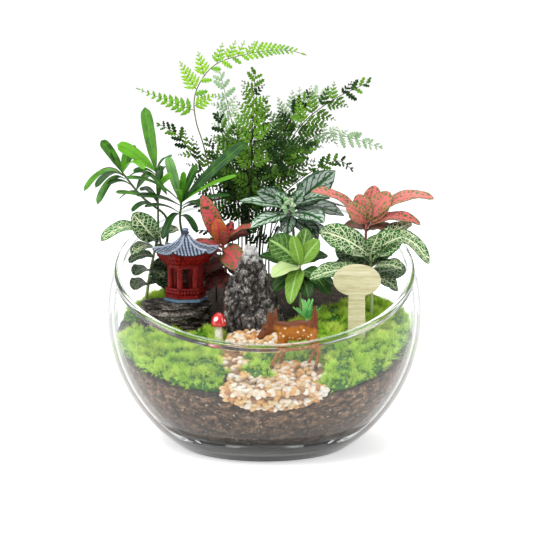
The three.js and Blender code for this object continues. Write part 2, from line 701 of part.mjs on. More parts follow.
function strapRight() {
  const top = [-54.5, 42, 150];
  return plant(
    [plantStem('strapRight', [[-53, 46, 122], [-55.5, 43, 138], top])],
    leavesOf(STRAP, [
      [top, [-89, 14, 169], 6, 5, UP], [[-55, 42, 148], [-82, 20, 157], 7.5, 2, UP],
      [[-55.4, 42.6, 143], [-77, 18, 150], 5, 3, UP], [[-55.4, 42.6, 142], [-66, 25, 128], 6, 6, UP],
      [top, [-12, 24, 191], 7.5, 2, FRONT], [top, [-18, 18, 170], 7.5, 2, UP],
      [[-55.2, 42.6, 145], [-22, 20, 157], 6.5, 3, UP], [top, [-63, 38, 181], 5, 0, FRONT],
      [[-55, 42, 149], [-56, 26, 160], 6, 2, UP], [top, [-60, 74, 160], 6, 5, UP],
    ]));
}

function whiteLeft() {
  const top = [-70, 28, 127];
  return plant(
    [plantStem('whiteLeft', [[-75, 33, 104], top])],
    leavesOf(BROAD, [
      [top, [-84, 8, 147], 16, 0, FRONT], [top, [-104, 3, 130], 13, 9, UP], [top, [-56, 34, 133], 11, 3, UP],
      [[-70.5, 28.6, 121], [-85, 9, 120], 11, 4, UP], [[-74.5, 32, 106], [-84, 15, 106], 12, 3, UP],
      [[-76, 34.5, 97], [-85, 19, 96], 13, 3, UP], [[-75, 33, 103], [-66, 24, 103], 10, 3, UP],
    ]));
}

function redCentre() {
  const top = [-27, 33, 123];
  return plant(
    [plantStem('redCentre', [[-25.5, 34, 100], [-25.5, 34, 110], top])],
    leavesOf(BROAD, [
      [top, [-40, 22, 157], 12, 0, FRONT], [top, [-31, 20, 142], 10, 0, FRONT],
      [top, [-21, 32, 139], 7, 0, FRONT], [top, [-6, 16, 137], 10, 4, UP],
      [[-26.6, 33, 120], [-16, 19, 108], 16, 3, FRONT],
      [[-27, 33, 121], [-47, 34, 125], 7, 2, UP], [top, [-10, 35, 130], 11, 3, UP],
      [[-25.6, 34, 112], [-38, 24, 106], 13, 2, UP], [[-25.5, 34, 109], [-13, 30, 99], 12, 3, UP],
      [[-25.5, 34, 105], [-30, 25, 96], 11, 2, UP],
    ]));
}

function paleCentre() {
  const top = [23, 13.5, 113];
  return plant(
    [plantStem('paleCentre', [[23, 15, 96], top])],
    leavesOf(BROAD, [
      [top, [3, 9, 130], 19, 2, FRONT], [top, [18, 7, 133], 9, 0, FRONT], [top, [27, 19, 136], 12, 1, FRONT],
      [top, [35, 8, 130], 11, 1, FRONT], [[23, 13.5, 111], [5, -6, 108], 13, 3, UP],
      [[23, 14, 110], [16, -8, 91], 11, 5, UP], [[23, 14, 110], [-3, 20, 118], 13, 2, UP],
      [[23, 14, 108], [38, 2, 100], 13, 4, UP], [[23, 14.5, 101], [36, 22, 103], 12, 3, UP],
    ]));
}

function pilea() {
  const top = [17, 35, 147];
  const twig = stem([[17, 35, 146], [16.5, 32.5, 149.5], [16, 31, 152.6]], 0.7, 5);
  const bud = mass([16, 30.6, 153.2], [2.6, 2, 1.9], 0, 6, 4);
  return plant(
    [plantStem('pilea', [[19.5, 38, 112], [19, 37, 130], top]), twig, bud],
    leavesOf(BROAD, [
      [top, [-16, 25, 153], 13, 1, UP], [top, [-5, 33, 158], 12, 2, FRONT],
      [[17, 35.4, 143], [-9, 14, 137], 14, 2, UP], [[17, 35.4, 143], [38, 15, 140], 20, 3, UP],
      [top, [52, 37, 142], 18, 3, UP], [top, [42, 22, 155], 16, 3, UP],
      [top, [46, 34, 172], 18, 0, FRONT], [[17.5, 35.8, 139], [35, 27, 128], 15, 2, UP],
      [[18, 36, 136], [46, 48, 124], 18, 3, UP], [[17.4, 35.8, 141], [23, 62, 138], 16, 3, UP],
      [[18, 36, 137], [6, 50, 124], 15, 3, UP],
    ]));
}

function whiteRight() {
  const top = [68, 12, 121];
  return plant(
    [plantStem('whiteRight', [[69, 11.5, 100], top])],
    leavesOf(ROUND, [
      [[68, 12, 119], [35, 3, 136], 17, 3, FRONT], [[68.5, 12, 114], [105, 3, 115], 15, 17, UP],
      [top, [88, 3, 133], 16, 1, FRONT], [top, [95, 20, 139], 14, 3, UP],
      [[68.6, 12, 112], [81, 26, 119], 14, 3, UP], [[68.8, 12, 110], [87, -5, 113], 14, 3, UP],
      [top, [72, 2, 134], 11, 0, FRONT],
      [[68.8, 12, 108], [29, -8, 107], 17, 4, UP], [[69, 12, 104], [84, 2, 99], 12, 3, UP],
    ]));
}

function redRight() {
  const top = [66, 27.5, 138];
  return plant(
    [plantStem('redRight', [[65.5, 29, 110], top])],
    leavesOf(BROAD, [
      [top, [30, 16, 160], 13, 6, UP], [top, [60, 21, 158], 13, 0, FRONT], [top, [52, 13, 150], 12, 2, FRONT],
      [top, [72, 36, 162], 13, 0, FRONT], [top, [81, 22, 159], 14, 1, FRONT],
      [top, [109, 20, 155], 13, 8, UP],
      [[66, 28, 135], [100, 14, 139], 12, 6, UP], [top, [84, 50, 149], 13, 4, UP],
      [[66, 28, 133], [58, 50, 144], 13, 3, UP],
    ]));
}

function starPlant() {
  const [x, y] = ROOTS.star;
  const tips = azimuths(8).map((a, i) => {
    const inner = i % 2;
    return [x + (9 - 4 * inner) * Math.cos(a), y + (7 - 3 * inner) * Math.sin(a), 90 + 5 * inner];
  });
  return plant(
    [plantStem('star', [[x, y, 75], [x, y, 84]])],
    leavesOf(STAR, tips.map((tip) => {
      const heart = point(x, y, 82.6).lerp(point(...tip), 0.06);
      return [heart.toArray(), tip, 4.4, -0.5, [x - tip[0], y - tip[1], 9]];
    })));
}

// The leaflets of the tall arching frond, the longest lowest.
const ARCH_UPPER = [
  [0, 40], [0.15, 21], [0.26, 16], [0.38, 13.5], [0.46, 12.5], [0.53, 10.5], [0.595, 9.2], [0.65, 7.8],
  [0.705, 6.6], [0.755, 5.6], [0.805, 4.6], [0.855, 3.8], [0.91, 3]];
const ARCH_LOWER = [
  [0.03, 16], [0.12, 8], [0.22, 7], [0.33, 6.5], [0.42, 7.5], [0.495, 6.5], [0.56, 5.5], [0.62, 5.2],
  [0.68, 5], [0.73, 4.5], [0.78, 4], [0.83, 3.4], [0.885, 2.8]];

// The fern's fronds: root in plan, route of the rib, the way the blade looks, bare share and leaflets.
const FRONDS = [
  { root: [-24, 45], path: [[-31, 45, 142], [-39.5, 41, 187], [-44.4, 36, 204], [-45, 31, 219.7],
    [-39.4, 28.5, 232.1], [-32, 27.5, 240.1], [-24.6, 26, 243.6], [-11.9, 24, 247.1], [-1, 23, 249],
    [9.9, 22, 249.9], [19.5, 21, 248.9], [26.8, 20, 246.6]],
  face: FRONT, bare: 0.6, left: ARCH_UPPER, right: ARCH_LOWER, light: FERN_LIGHT },
  { root: [-32, 50], path: [[-33, 51, 138], [-38, 51, 165], [-49, 49, 183], [-58, 46, 195], [-70, 42, 202]],
    face: [-0.2, -1, 0.3], bare: 0.5, left: evenRow(8, 15, 0.5), right: evenRow(8, 20, 0), light: FERN_DARK },
  { root: [-14, 47], path: [[-11, 46, 132], [-9, 45, 165], [-8, 44, 195], [-6, 40, 236]],
    face: FRONT, bare: 0.46, left: evenRow(10, 28, 0.5, 1), right: evenRow(10, 28, 0, 1), light: FERN_DARK },
  { root: [-19, 55], path: [[-17, 55, 130], [-18, 56, 157], [-23, 58, 183], [-31, 60, 208]],
    face: [-0.2, -1, 0.3], bare: 0.45,
    left: evenRow(8, 24, 0.5), right: evenRow(8, 24, 0), light: FERN_DARK },
  { root: [-4, 49], path: [[-2, 51, 128], [6, 50.5, 165], [22, 45.5, 198], [42, 37, 216], [68, 26, 230]],
    face: FRONT, bare: 0.45, left: evenRow(10, 26, 0.5), right: evenRow(10, 26, 0), light: FERN_DARK },
  { root: [3, 58], path: [[4, 58, 128], [15, 60, 170], [34, 62, 193], [55, 66, 191], [79, 70, 183]],
    face: [0.1, -1, 0.5], bare: 0.5, left: evenRow(9, 18, 0.5), right: evenRow(9, 18, 0), light: FERN_PALE },
  { root: [-5, 40], path: [[-4, 40.6, 128], [4, 41, 147], [18, 42.3, 161], [36, 44.6, 173], [50, 46.6, 177],
    [58, 47.6, 170]],
  face: [0.1, -1, 0.3], bare: 0.5, left: evenRow(8, 15, 0.5), right: evenRow(8, 15, 0), light: FERN_DARK },
  { root: [-12, 64], path: [[-13, 62, 132], [-15, 64, 155], [-19, 78, 185], [-25, 90, 212], [-31, 96, 236]],
    face: [0, -1, 0.2], bare: 0.45, left: evenRow(7, 24, 0.5), right: evenRow(7, 24, 0), light: FERN_PALE },
  { root: [-4, 65], path: [[-2, 64, 132], [5, 65, 180], [19, 69, 210], [45, 74, 221]],
    face: [0.1, -1, 0.3], bare: 0.55, left: evenRow(7, 22, 0.5), right: evenRow(7, 22, 0), light: FERN_PALE },
];

// What stands in a round hole: its place in plan, its radius and how deep it goes.
const STANDING = [
  ...Object.values(ROOTS).map((root) => [...root, ROOT_DEPTH]),
  ...FRONDS.map(({ root }) => [...root, 0.8, ROOT_DEPTH]),
  [...MUSHROOM, 3.4, MUSHROOM_DEPTH]];

/** The holes in which stems, sign and mushroom stand, through the moss and down into the soil. */
function plantingHoles() {
  const stemHoles = STANDING.map(([x, y, radius, depth]) => uprightPrism(
    x, y, ground(y) - depth - CLEARANCE, ground(y) + HOLE_HEIGHT, radius + HOLE_CLEARANCE, 5));
  const reach = point(POST_HALF_WIDTH + 1.2, SIGN_THICKNESS / 2 + CLEARANCE + 0.1, 0);
  const post = point(...SIGN, ground(SIGN[1]));
  const low = post.clone().sub(reach).setZ(post.z - ROOT_DEPTH - CLEARANCE);
  const postHole = block(low, post.clone().add(reach).setZ(post.z + HOLE_HEIGHT));
  return stemHoles.reduce((sum, hole) => sum.add(hole), postHole);
}

// Outlines in plan of what covers the soil.
const GRAVEL_OUTLINE = [
  [-24, -72], [-12, -86], [4, -88], [20, -85], [33, -76], [38, -61], [34, -46], [16, -44.5], [2, -44],
  [-8, -40], [-5, -28], [13, -25], [14, -13], [-8, -12.5], [-22, -13], [-26, -24], [-27, -44], [-22, -58]];
const MOSS_LEFT = [
  [-84, 6], [-92, -6], [-88, -26], [-77, -46], [-60, -64], [-42, -76], [-27, -79], [-26, -67], [-24, -57],
  [-28.5, -44], [-28.5, -26], [-40, -28], [-50, -24], [-51, -8], [-62, -1], [-72, 1]];
const MOSS_CENTRE = [
  [-49, -5], [-48, -21], [-38, -26], [-28, -23], [-24, -12], [-26.5, -6], [-29, 2], [-38, 4]];
const MOSS_FRONT = [[2, -42], [12, -42.5], [13.5, -35], [12, -27], [-3, -29.5], [-6.5, -38]];
const MOSS_RIGHT = [
  [15.5, -8], [15.5, -26], [15.5, -42.5], [35.5, -44], [40, -60], [35, -77], [45, -77], [60, -66], [74, -48],
  [86, -24], [92, 2], [91, 26], [83, 42], [66, 44], [46, 34], [30, 22], [16, 6]];
const MOSS_BACK = [[-84, 34], [-90, 30], [-91, 20], [-84, 16], [-82, 22], [-80, 30], [-66, 38], [-52, 38],
  [-54, 54], [-60, 68], [-74, 56], [-82, 43]];

/** Cuts away what would lie below the soil's surface. */
function aboveSoil(body) {
  const earth = new THREE.BoxGeometry(300, 300, 60);
  const corners = earth.attributes.position;
  for (let i = 0; i < corners.count; i += 1) {
    corners.setZ(i, corners.getZ(i) - 30 + ground(corners.getY(i)) + CLEARANCE);
  }
  return body.subtract(solid(earth));
}

const tallRock = () => rock([-7, 3], [
  [18, 14, 62], [19, 15, 74], [18.3, 14, 85], [16.4, 12, 95, -1.3, 1], [12.4, 8.6, 106, -2.8, 2.2],
  [8.4, 6, 114.5, -1.6, 3.2], [5.6, 4.6, 122, -1.8, 4.2], [3.4, 3, 127, -2.2, 5]], 11, 5, 0.2);
const flatRock = () => rock([-57, 19], [
  [20, 13.5, 70], [22, 15, 77], [24, 16.5, 80.5], [22.6, 15.6, 83], [24, 16.8, 86, 0, 0, 0.12],
  [22, 15.6, ROCK_TOP, 0, 0, 0]], 14, 8, 0.14);

const holes = plantingHoles();
const cutMoss = (body) => body.subtract(holes);

const PARTS = [
  ['glass_bowl', GLASS, 0.05, () => solid(glassBowl())],
  ['soil', SOIL, 0.95, () => soilMass().subtract(holes)],
  ['gravel_path', GRAVEL, 0.45, () => gravelPath(GRAVEL_OUTLINE, HOOVES)],
  ['moss_left', MOSS, 0.95, () => cutMoss(mossMat(MOSS_LEFT, [-58, -36], 6.5, 21))],
  ['moss_centre', MOSS, 0.95, () => cutMoss(mossMat(MOSS_CENTRE, [-36, -12], 5, 22))],
  ['moss_front', MOSS, 0.95, () => cutMoss(mossMat(MOSS_FRONT, [5, -35], 4.5, 23))],
  ['moss_right', MOSS, 0.95, () => cutMoss(mossMat(MOSS_RIGHT, [52, -12], 8, 24))],
  ['moss_back_left', MOSS, 0.95, () => cutMoss(mossMat(MOSS_BACK, [-74, 44], 6, 25))],
  ['rock_flat', LAYERED_ROCK, 0.85, () => aboveSoil(solid(flatRock()))],
  ['rock_tall', DARK_ROCK, 0.85, () => aboveSoil(solid(tallRock()))],
  ['pavilion_plinth', SLATE_BLUE, 0.5, () => hexagon([
    [0, ROCK_TOP + CLEARANCE], [14.6, ROCK_TOP + CLEARANCE], [14.2, PLINTH_TOP], [0, PLINTH_TOP]])],
  ['pavilion_body', RED_RESIN, 0.4, pavilionBody],
  ['pavilion_roof', SLATE_BLUE, 0.5, () => solid(pavilionRoof())],
  ['mushroom', RED_RESIN, 0.25, mushroom],
  ['fawn', FAWN_BROWN, 0.3, fawn],
  ['sign', PALE_WOOD, 0.6, sign],
  ['star_plant', MINT, 0.6, starPlant],
  ['podocarpus_left', STRAP_GREEN, 0.45, strapLeft],
  ['podocarpus_back', STRAP_GREEN, 0.45, strapBack],
  ['podocarpus_right', STRAP_GREEN, 0.45, strapRight],
  ['fittonia_white_left', VEINED_GREEN, 0.5, whiteLeft],
  ['fittonia_red_centre', VEINED_RED, 0.5, redCentre],
  ['fittonia_pale_centre', PALE_GREEN, 0.5, paleCentre],
  ['pilea', SILVER_GREEN, 0.45, pilea],
  ['fittonia_white_right', VEINED_GREEN, 0.5, whiteRight],
  ['fittonia_red_right', VEINED_RED, 0.5, redRight],
  ...FRONDS.map((entry, i) => [`fern_frond_${i + 1}`, entry.light, 0.55, () => frond(entry)]),
];

const group = new THREE.Group();
for (const [name, color, roughness, make] of PARTS) {
  const material = new THREE.MeshStandardMaterial({ color, roughness, metalness: 0 });
  if (name === 'glass_bowl') {
    material.transparent = true;
    material.opacity = 0.3;
  }
  const mesh = new THREE.Mesh(shape(make()), material);
  mesh.name = name;
  group.add(mesh);
}

export default group;
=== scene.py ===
"""Dresses the planted glass bowl: glass, soil, moss, gravel, stones, ornaments and plants.

Tables are in millimetres in the model's own frame; every mesh is made in metres.
"""

import json
import math

import bmesh
import bpy
import numpy as np
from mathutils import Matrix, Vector, noise

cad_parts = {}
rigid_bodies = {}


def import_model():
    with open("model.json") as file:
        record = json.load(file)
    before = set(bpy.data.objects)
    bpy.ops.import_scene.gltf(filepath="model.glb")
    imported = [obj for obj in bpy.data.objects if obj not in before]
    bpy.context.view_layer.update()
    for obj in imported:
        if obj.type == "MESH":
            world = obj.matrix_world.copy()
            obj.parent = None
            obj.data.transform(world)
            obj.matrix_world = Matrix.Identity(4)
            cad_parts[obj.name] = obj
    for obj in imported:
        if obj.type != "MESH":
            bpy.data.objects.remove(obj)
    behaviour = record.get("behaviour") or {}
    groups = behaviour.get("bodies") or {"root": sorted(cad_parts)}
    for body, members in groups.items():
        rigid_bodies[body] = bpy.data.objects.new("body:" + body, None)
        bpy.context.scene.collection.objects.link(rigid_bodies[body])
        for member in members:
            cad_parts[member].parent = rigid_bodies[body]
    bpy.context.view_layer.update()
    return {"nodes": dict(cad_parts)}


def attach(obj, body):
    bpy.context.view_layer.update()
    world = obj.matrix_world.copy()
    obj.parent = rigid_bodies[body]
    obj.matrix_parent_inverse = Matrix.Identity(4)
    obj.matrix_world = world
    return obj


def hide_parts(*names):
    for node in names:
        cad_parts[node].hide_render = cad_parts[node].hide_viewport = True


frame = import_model()
cad = frame["nodes"]

MM = 0.001

# The bowl and what fills it
BOWL_RADIUS = 100
BOWL_CENTRE = np.array([0, 0, 84])
WALL = 3.5
INNER_RADIUS = BOWL_RADIUS - WALL
AT_GLASS = INNER_RADIUS - 0.35  # as near to the glass as moss and stones come
FOOT_RADIUS = 50
FOOT_CURVE = 5
BASE_TOP = 8
THICK_GLASS_TOP = BASE_TOP + 4.2
RIM_TILT = math.radians(22.5)
RIM_OFFSET = 34.2
BEAD_RADIUS = 2.3
SOIL_LEVEL = 70
SOIL_SLOPE = 0.26
CLEARANCE = 0.3
WALL_STONES = (-107, -65)  # where stones lie against the glass, in degrees round the bowl
FRONT = (0, -1, 0.25)
UP = (0, -0.45, 1)

# The photograph's frame in pixels: its width, the camera's focal length and how far the middle is shifted
PICTURE_WIDTH = 533
FOCAL_LENGTH = 1877
FRAME_SHIFT = (2, 46.5)


def ground(y):
    """The height of the soil's even slope."""
    return SOIL_LEVEL + SOIL_SLOPE * y


def unit(vectors):
    vectors = np.asarray(vectors, float)
    return vectors / np.maximum(np.linalg.norm(vectors, axis=-1, keepdims=True), 1e-9)


def azimuths(count, turn=0.0):
    return turn + np.arange(count) * 2 * math.pi / count


def circle(middle, radius, side, other, count):
    """A ring of points round a place, in the plane of two directions."""
    angles = azimuths(count)
    return middle + radius * (np.cos(angles)[:, None] * side + np.sin(angles)[:, None] * other)


# ---------------------------------------------------------------- node graphs


class Wire:
    """One output of a node. Arithmetic on it adds Math nodes to its graph."""

    def __init__(self, graph, socket):
        self.graph = graph
        self.socket = socket

    def __add__(self, other):
        return self.graph.math("ADD", self, other)

    def __sub__(self, other):
        return self.graph.math("SUBTRACT", self, other)

    def __rsub__(self, other):
        return self.graph.math("SUBTRACT", other, self)

    def __mul__(self, other):
        return self.graph.math("MULTIPLY", self, other)

    def __truediv__(self, other):
        return self.graph.math("DIVIDE", self, other)

    def __pow__(self, other):
        return self.graph.math("POWER", self, other)

    def __abs__(self):
        return self.graph.math("ABSOLUTE", self)

    __radd__ = __add__
    __rmul__ = __mul__


class Graph:
    """A node tree, built one node at a time."""

    def __init__(self, tree):
        self.tree = tree

    def node(self, kind, settings=None, sockets=None, output=0):
        """Adds a node: its settings first, then values or wires for its sockets."""
        made = self.tree.nodes.new(kind)
        for key, value in (settings or {}).items():
            if key == "stops":
                self.stops(made.color_ramp, value)
            else:
                setattr(made, key, value)
        for key, value in (sockets or {}).items():
            if isinstance(value, Wire):
                self.tree.links.new(value.socket, made.inputs[key])
            else:
                made.inputs[key].default_value = value
        return Wire(self, made.outputs[output])

    @staticmethod
    def stops(ramp, stops):
        while len(ramp.elements) < len(stops):
            ramp.elements.new(1)
        for element, (place, colour) in zip(ramp.elements, stops):
            element.position = place
            element.color = (*colour, 1)

    def math(self, operation, *values):
        sockets = dict(enumerate(values))
        return self.node("ShaderNodeMath", {"operation": operation}, sockets)

    def step(self, value, low, high):
        """0 below the first bound and 1 above the second, smooth between them."""
        settings = {"interpolation_type": "SMOOTHSTEP"}
        sockets = {"Value": value, "From Min": low, "From Max": high}
        if low > high:
            sockets.update({"From Min": high, "From Max": low, "To Min": 1.0, "To Max": 0.0})
        return self.node("ShaderNodeMapRange", settings, sockets)


class Finish(Graph):
    """A material on one Principled shader. Constants go straight on its sockets."""

    def __init__(self, name, **constants):
        self.material = bpy.data.materials.new(name)
        self.material.use_nodes = True
        super().__init__(self.material.node_tree)
        self.shader = self.tree.nodes["Principled BSDF"]
        for key, value in constants.items():
            self.shader.inputs[key.replace("_", " ")].default_value = value

    def place(self):
        """Object coordinates in millimetres."""
        coordinates = self.node("ShaderNodeTexCoord", output="Object")
        return self.node("ShaderNodeVectorMath", {"operation": "SCALE"}, {0: coordinates, "Scale": 1 / MM})

    def axis(self, vector, name):
        return self.node("ShaderNodeSeparateXYZ", sockets={0: vector}, output=name)

    def uv(self):
        return self.node("ShaderNodeUVMap", {"uv_map": "UVMap"})

    def mark(self, name):
        """A number that the mesh carries at its points."""
        return self.node("ShaderNodeAttribute", {"attribute_name": name}, output="Fac")

    def stretched(self, vector, scale):
        return self.node("ShaderNodeMapping", {}, {"Vector": vector, "Scale": scale})

    def noise(self, vector, scale, detail, roughness=0.55):
        sockets = {"Vector": vector, "Scale": scale, "Detail": detail, "Roughness": roughness}
        return self.node("ShaderNodeTexNoise", {}, sockets)

    def cells(self, vector, scale, feature="DISTANCE_TO_EDGE"):
        return self.node("ShaderNodeTexVoronoi", {"feature": feature}, {"Vector": vector, "Scale": scale}, "Distance")

    def mix(self, factor, a, b):
        """A colour between two colours or wires."""
        colours = {6: a if isinstance(a, Wire) else (*a, 1), 7: b if isinstance(b, Wire) else (*b, 1)}
        return self.node("ShaderNodeMix", {"data_type": "RGBA"}, {0: factor, **colours}, 2)

    def ramp(self, factor, stops):
        return self.node("ShaderNodeValToRGB", {"stops": stops}, {0: factor})

    def bump(self, height, depth):
        """Raises the surface's shading by a height of 0 to 1 times a depth in millimetres."""
        sockets = {"Height": height, "Distance": depth * MM, "Strength": 1.0}
        self.feed("Normal", self.node("ShaderNodeBump", {}, sockets))

    def feed(self, socket, wire):
        self.tree.links.new(wire.socket, self.shader.inputs[socket])


# ------------------------------------------------------------- meshes


def finish_piece(obj, finish, stands_for=()):
    """Gives a mesh its material and its body, and hides the solids that it stands for."""
    obj.data.materials.clear()
    obj.data.materials.append(finish.material)
    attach(obj, "root")
    if stands_for:
        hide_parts(*stands_for)


def linked(name, mesh):
    """The mesh as an object in the scene."""
    obj = bpy.data.objects.new(name, mesh)
    bpy.context.scene.collection.objects.link(obj)
    return obj


def from_bmesh(name, made):
    """An object from an edited mesh, which isn't used again."""
    mesh = bpy.data.meshes.new(name)
    made.to_mesh(mesh)
    made.free()
    return linked(name, mesh)


def mesh_object(name, points, faces, smooth=True):
    """An object whose mesh has these points, in millimetres, and faces."""
    mesh = bpy.data.meshes.new(name)
    mesh.from_pydata((np.asarray(points) * MM).tolist(), [], [tuple(face) for face in faces])
    mesh.update()
    mesh.shade_smooth() if smooth else mesh.shade_flat()
    return linked(name, mesh)


def set_mark(mesh, name, values):
    attribute = mesh.attributes.get(name) or mesh.attributes.new(name, "FLOAT", "POINT")
    attribute.data.foreach_set("value", np.asarray(values, np.float32))


def set_uv(mesh, places):
    layer = mesh.uv_layers.new(name="UVMap")
    corners = np.zeros(len(mesh.loops), int)
    mesh.loops.foreach_get("vertex_index", corners)
    layer.data.foreach_set("uv", np.asarray(places, np.float32)[corners].ravel())


def skin_faces(rings, count):
    """Faces over rings of points with a pole before the first and after the last."""
    faces = []
    last = 1 + rings * count
    for i in range(count):
        j = (i + 1) % count
        faces.append((0, 1 + j, 1 + i))
        for ring in range(rings - 1):
            a, b = 1 + ring * count, 1 + (ring + 1) * count
            faces.append((a + i, a + j, b + j, b + i))
        top = 1 + (rings - 1) * count
        faces.append((top + i, top + j, last))
    return faces


def skin(name, start, rings, end, smooth=True):
    points = np.vstack([[start], *rings, [end]])
    return mesh_object(name, points, skin_faces(len(rings), len(rings[0])), smooth)


def turned(name, profile, centre, sides, turn=0.0, smooth=True):
    """A closed shape turned about an upright axis, from a profile of radius and height."""
    angles = azimuths(sides, turn)
    spread = np.stack([np.cos(angles), np.sin(angles), np.zeros(sides)], 1)
    middle = np.array([centre[0], centre[1], 0.0])
    rings = [middle + spread * radius + (0, 0, z) for radius, z in profile[1:-1]]
    start, end = (middle + (0, 0, z) for _, z in (profile[0], profile[-1]))
    return skin(name, start, rings, end, smooth)


def joined(name, objects):
    """Several mesh objects as one."""
    made = bmesh.new()
    for obj in objects:
        made.from_mesh(obj.data)
        bpy.data.objects.remove(obj)
    return from_bmesh(name, made)


def settled(obj):
    """The object with its modifiers made part of a plain mesh."""
    bpy.context.view_layer.update()
    graph = bpy.context.evaluated_depsgraph_get()
    mesh = bpy.data.meshes.new_from_object(obj.evaluated_get(graph), depsgraph=graph)
    obj.modifiers.clear()
    obj.data = mesh
    mesh.name = obj.name
    return obj


def remeshed(obj, voxel, smooth_steps):
    """The object as one even skin, with its joints blended."""
    modifier = obj.modifiers.new("skin", "REMESH")
    modifier.mode = "VOXEL"
    modifier.voxel_size = voxel * MM
    modifier.use_smooth_shade = True
    rounding = obj.modifiers.new("rounding", "SMOOTH")
    rounding.factor = 0.5
    rounding.iterations = smooth_steps
    return settled(obj)


def points_of(mesh):
    places = np.zeros(len(mesh.vertices) * 3)
    mesh.vertices.foreach_get("co", places)
    return places.reshape(-1, 3) / MM


def move_points(mesh, places):
    mesh.vertices.foreach_set("co", (places * MM).ravel())
    mesh.update()


def normals_of(mesh):
    normals = np.zeros(len(mesh.vertices) * 3)
    mesh.vertices.foreach_get("normal", normals)
    return normals.reshape(-1, 3)


def lumps(places, scale, seed, octaves=4):
    """Smooth noise of about -1 to 1 at each place; the scale is the size of a lump in millimetres."""
    shift = Vector((seed * 7.3, seed * 3.1, seed * 5.7))
    return np.array([noise.fractal(Vector(p) / scale + shift, 0.9, 2.0, octaves) for p in places])


def kept_inside(mesh, radius):
    """Draws back to the glass whatever would pass through it."""
    places = points_of(mesh) - BOWL_CENTRE
    distance = np.linalg.norm(places, axis=1, keepdims=True)
    move_points(mesh, BOWL_CENTRE + places * np.minimum(1, radius / np.maximum(distance, 1e-6)))


class Route:
    """A smooth curve through points, read by its share of length."""

    def __init__(self, points):
        spots = np.array(points, float)
        spots = np.vstack([2 * spots[0] - spots[1], spots, 2 * spots[-1] - spots[-2]])
        steps = np.linspace(0, 1, 20, endpoint=False)[:, None]
        parts = []
        for a, b, c, d in zip(spots, spots[1:], spots[2:], spots[3:]):
            first, middle, last = (max(np.linalg.norm(v), 1e-6) ** 0.5 for v in (b - a, c - b, d - c))
            out = ((b - a) / first - (c - a) / (first + middle) + (c - b) / middle) * middle
            into = ((c - b) / middle - (d - b) / (middle + last) + (d - c) / last) * middle
            bend = -3 * b + 3 * c - 2 * out - into
            parts.append(b + out * steps + bend * steps**2 + (2 * b - 2 * c + out + into) * steps**3)
        self.spots = np.vstack([*parts, [spots[-2]]])
        lengths = np.linalg.norm(np.diff(self.spots, axis=0), axis=1)
        self.run = np.concatenate([[0], np.cumsum(lengths)])
        self.length = self.run[-1]

    def at(self, share):
        """The place and the direction at a share of the length."""
        return self.place(share), unit(self.place(share + 0.004) - self.place(share - 0.004))

    def place(self, share):
        run = np.clip(share, 0, 1) * self.length
        return np.array([np.interp(run, self.run, self.spots[:, k]) for k in range(3)])


class Growth:
    """The mesh of one plant as it grows: blades and stems with their texture places and marks."""

    def __init__(self):
        self.points, self.faces, self.places, self.tones, self.stems = [], [], [], [], []
        self.count = 0

    def add(self, points, faces, places, tone, stem=0.0):
        self.faces.extend([tuple(i + self.count for i in face) for face in faces])
        self.points.append(points)
        self.places.append(places)
        self.tones.append(np.full(len(points), tone))
        self.stems.append(np.full(len(points), stem))
        self.count += len(points)

    def stem(self, points, radius, tip_radius, sides=8, tone=0.5, spacing=3.0):
        """A round stem through the points, narrowing to its tip."""
        route = Route(points)
        steps = max(3, int(route.length / spacing))
        shares = np.linspace(0, 1, steps + 1)
        side = None
        rings = []
        for share in shares:
            middle, along = route.at(share)
            guide = side if side is not None else np.array([1, 0.1, 0.0])
            side = unit(guide - along * np.dot(guide, along))
            other = np.cross(along, side)
            rings.append(circle(middle, radius + (tip_radius - radius) * share, side, other, sides))
        ends = [route.place(0), route.place(1)]
        places = np.vstack([[[0.5, 0]], *[[[i / sides, s] for i in range(sides)] for s in shares], [[0.5, 1]]])
        self.add(np.vstack([[ends[0]], *rings, [ends[1]]]), skin_faces(len(rings), sides), places, tone, 1.0)

    def blade(self, sheet, up, half, places, tone):
        """A thin closed blade from a grid of points and the directions that its upper face looks in."""
        rows, columns = sheet.shape[:2]
        size = rows * columns
        points = np.vstack([(sheet + up * half).reshape(-1, 3), (sheet - up * half).reshape(-1, 3)])
        at = np.arange(size).reshape(rows, columns)
        upper = np.stack([at[:-1, :-1], at[:-1, 1:], at[1:, 1:], at[1:, :-1]], -1).reshape(-1, 4)
        lower = upper[:, ::-1] + size
        edge = np.concatenate([at[0, :-1], at[:-1, -1], at[-1, :0:-1], at[:0:-1, 0]])
        following = np.roll(edge, -1)
        rim = np.stack([following, edge, edge + size, following + size], -1)
        faces = np.vstack([upper, lower, rim])
        self.add(points, faces.tolist(), np.vstack([places, places]), tone)

    def piece(self, name, finish, slot, stands_for=()):
        obj = mesh_object(name, np.vstack(self.points), self.faces)
        set_uv(obj.data, np.vstack(self.places))
        set_mark(obj.data, "tone", np.concatenate(self.tones))
        set_mark(obj.data, "stem", np.concatenate(self.stems))
        finish_piece(obj, finish, stands_for)


# Leaf outlines: share of length and share of half width
STRAP = ((0, 0.1), (0.08, 0.26), (0.3, 0.76), (0.55, 0.96), (0.8, 1), (0.92, 0.84), (0.98, 0.48), (1, 0.06))
BROAD = ((0, 0.07), (0.08, 0.2), (0.2, 0.62), (0.38, 0.94), (0.54, 1), (0.7, 0.88), (0.86, 0.56), (0.95, 0.24),
         (1, 0.03))
ROUND = ((0, 0.07), (0.07, 0.24), (0.18, 0.7), (0.36, 0.97), (0.56, 1), (0.75, 0.88), (0.9, 0.58), (0.97, 0.3),
         (1, 0.04))
STAR = ((0, 0.4), (0.3, 0.85), (0.55, 1), (0.8, 0.55), (1, 0.04))


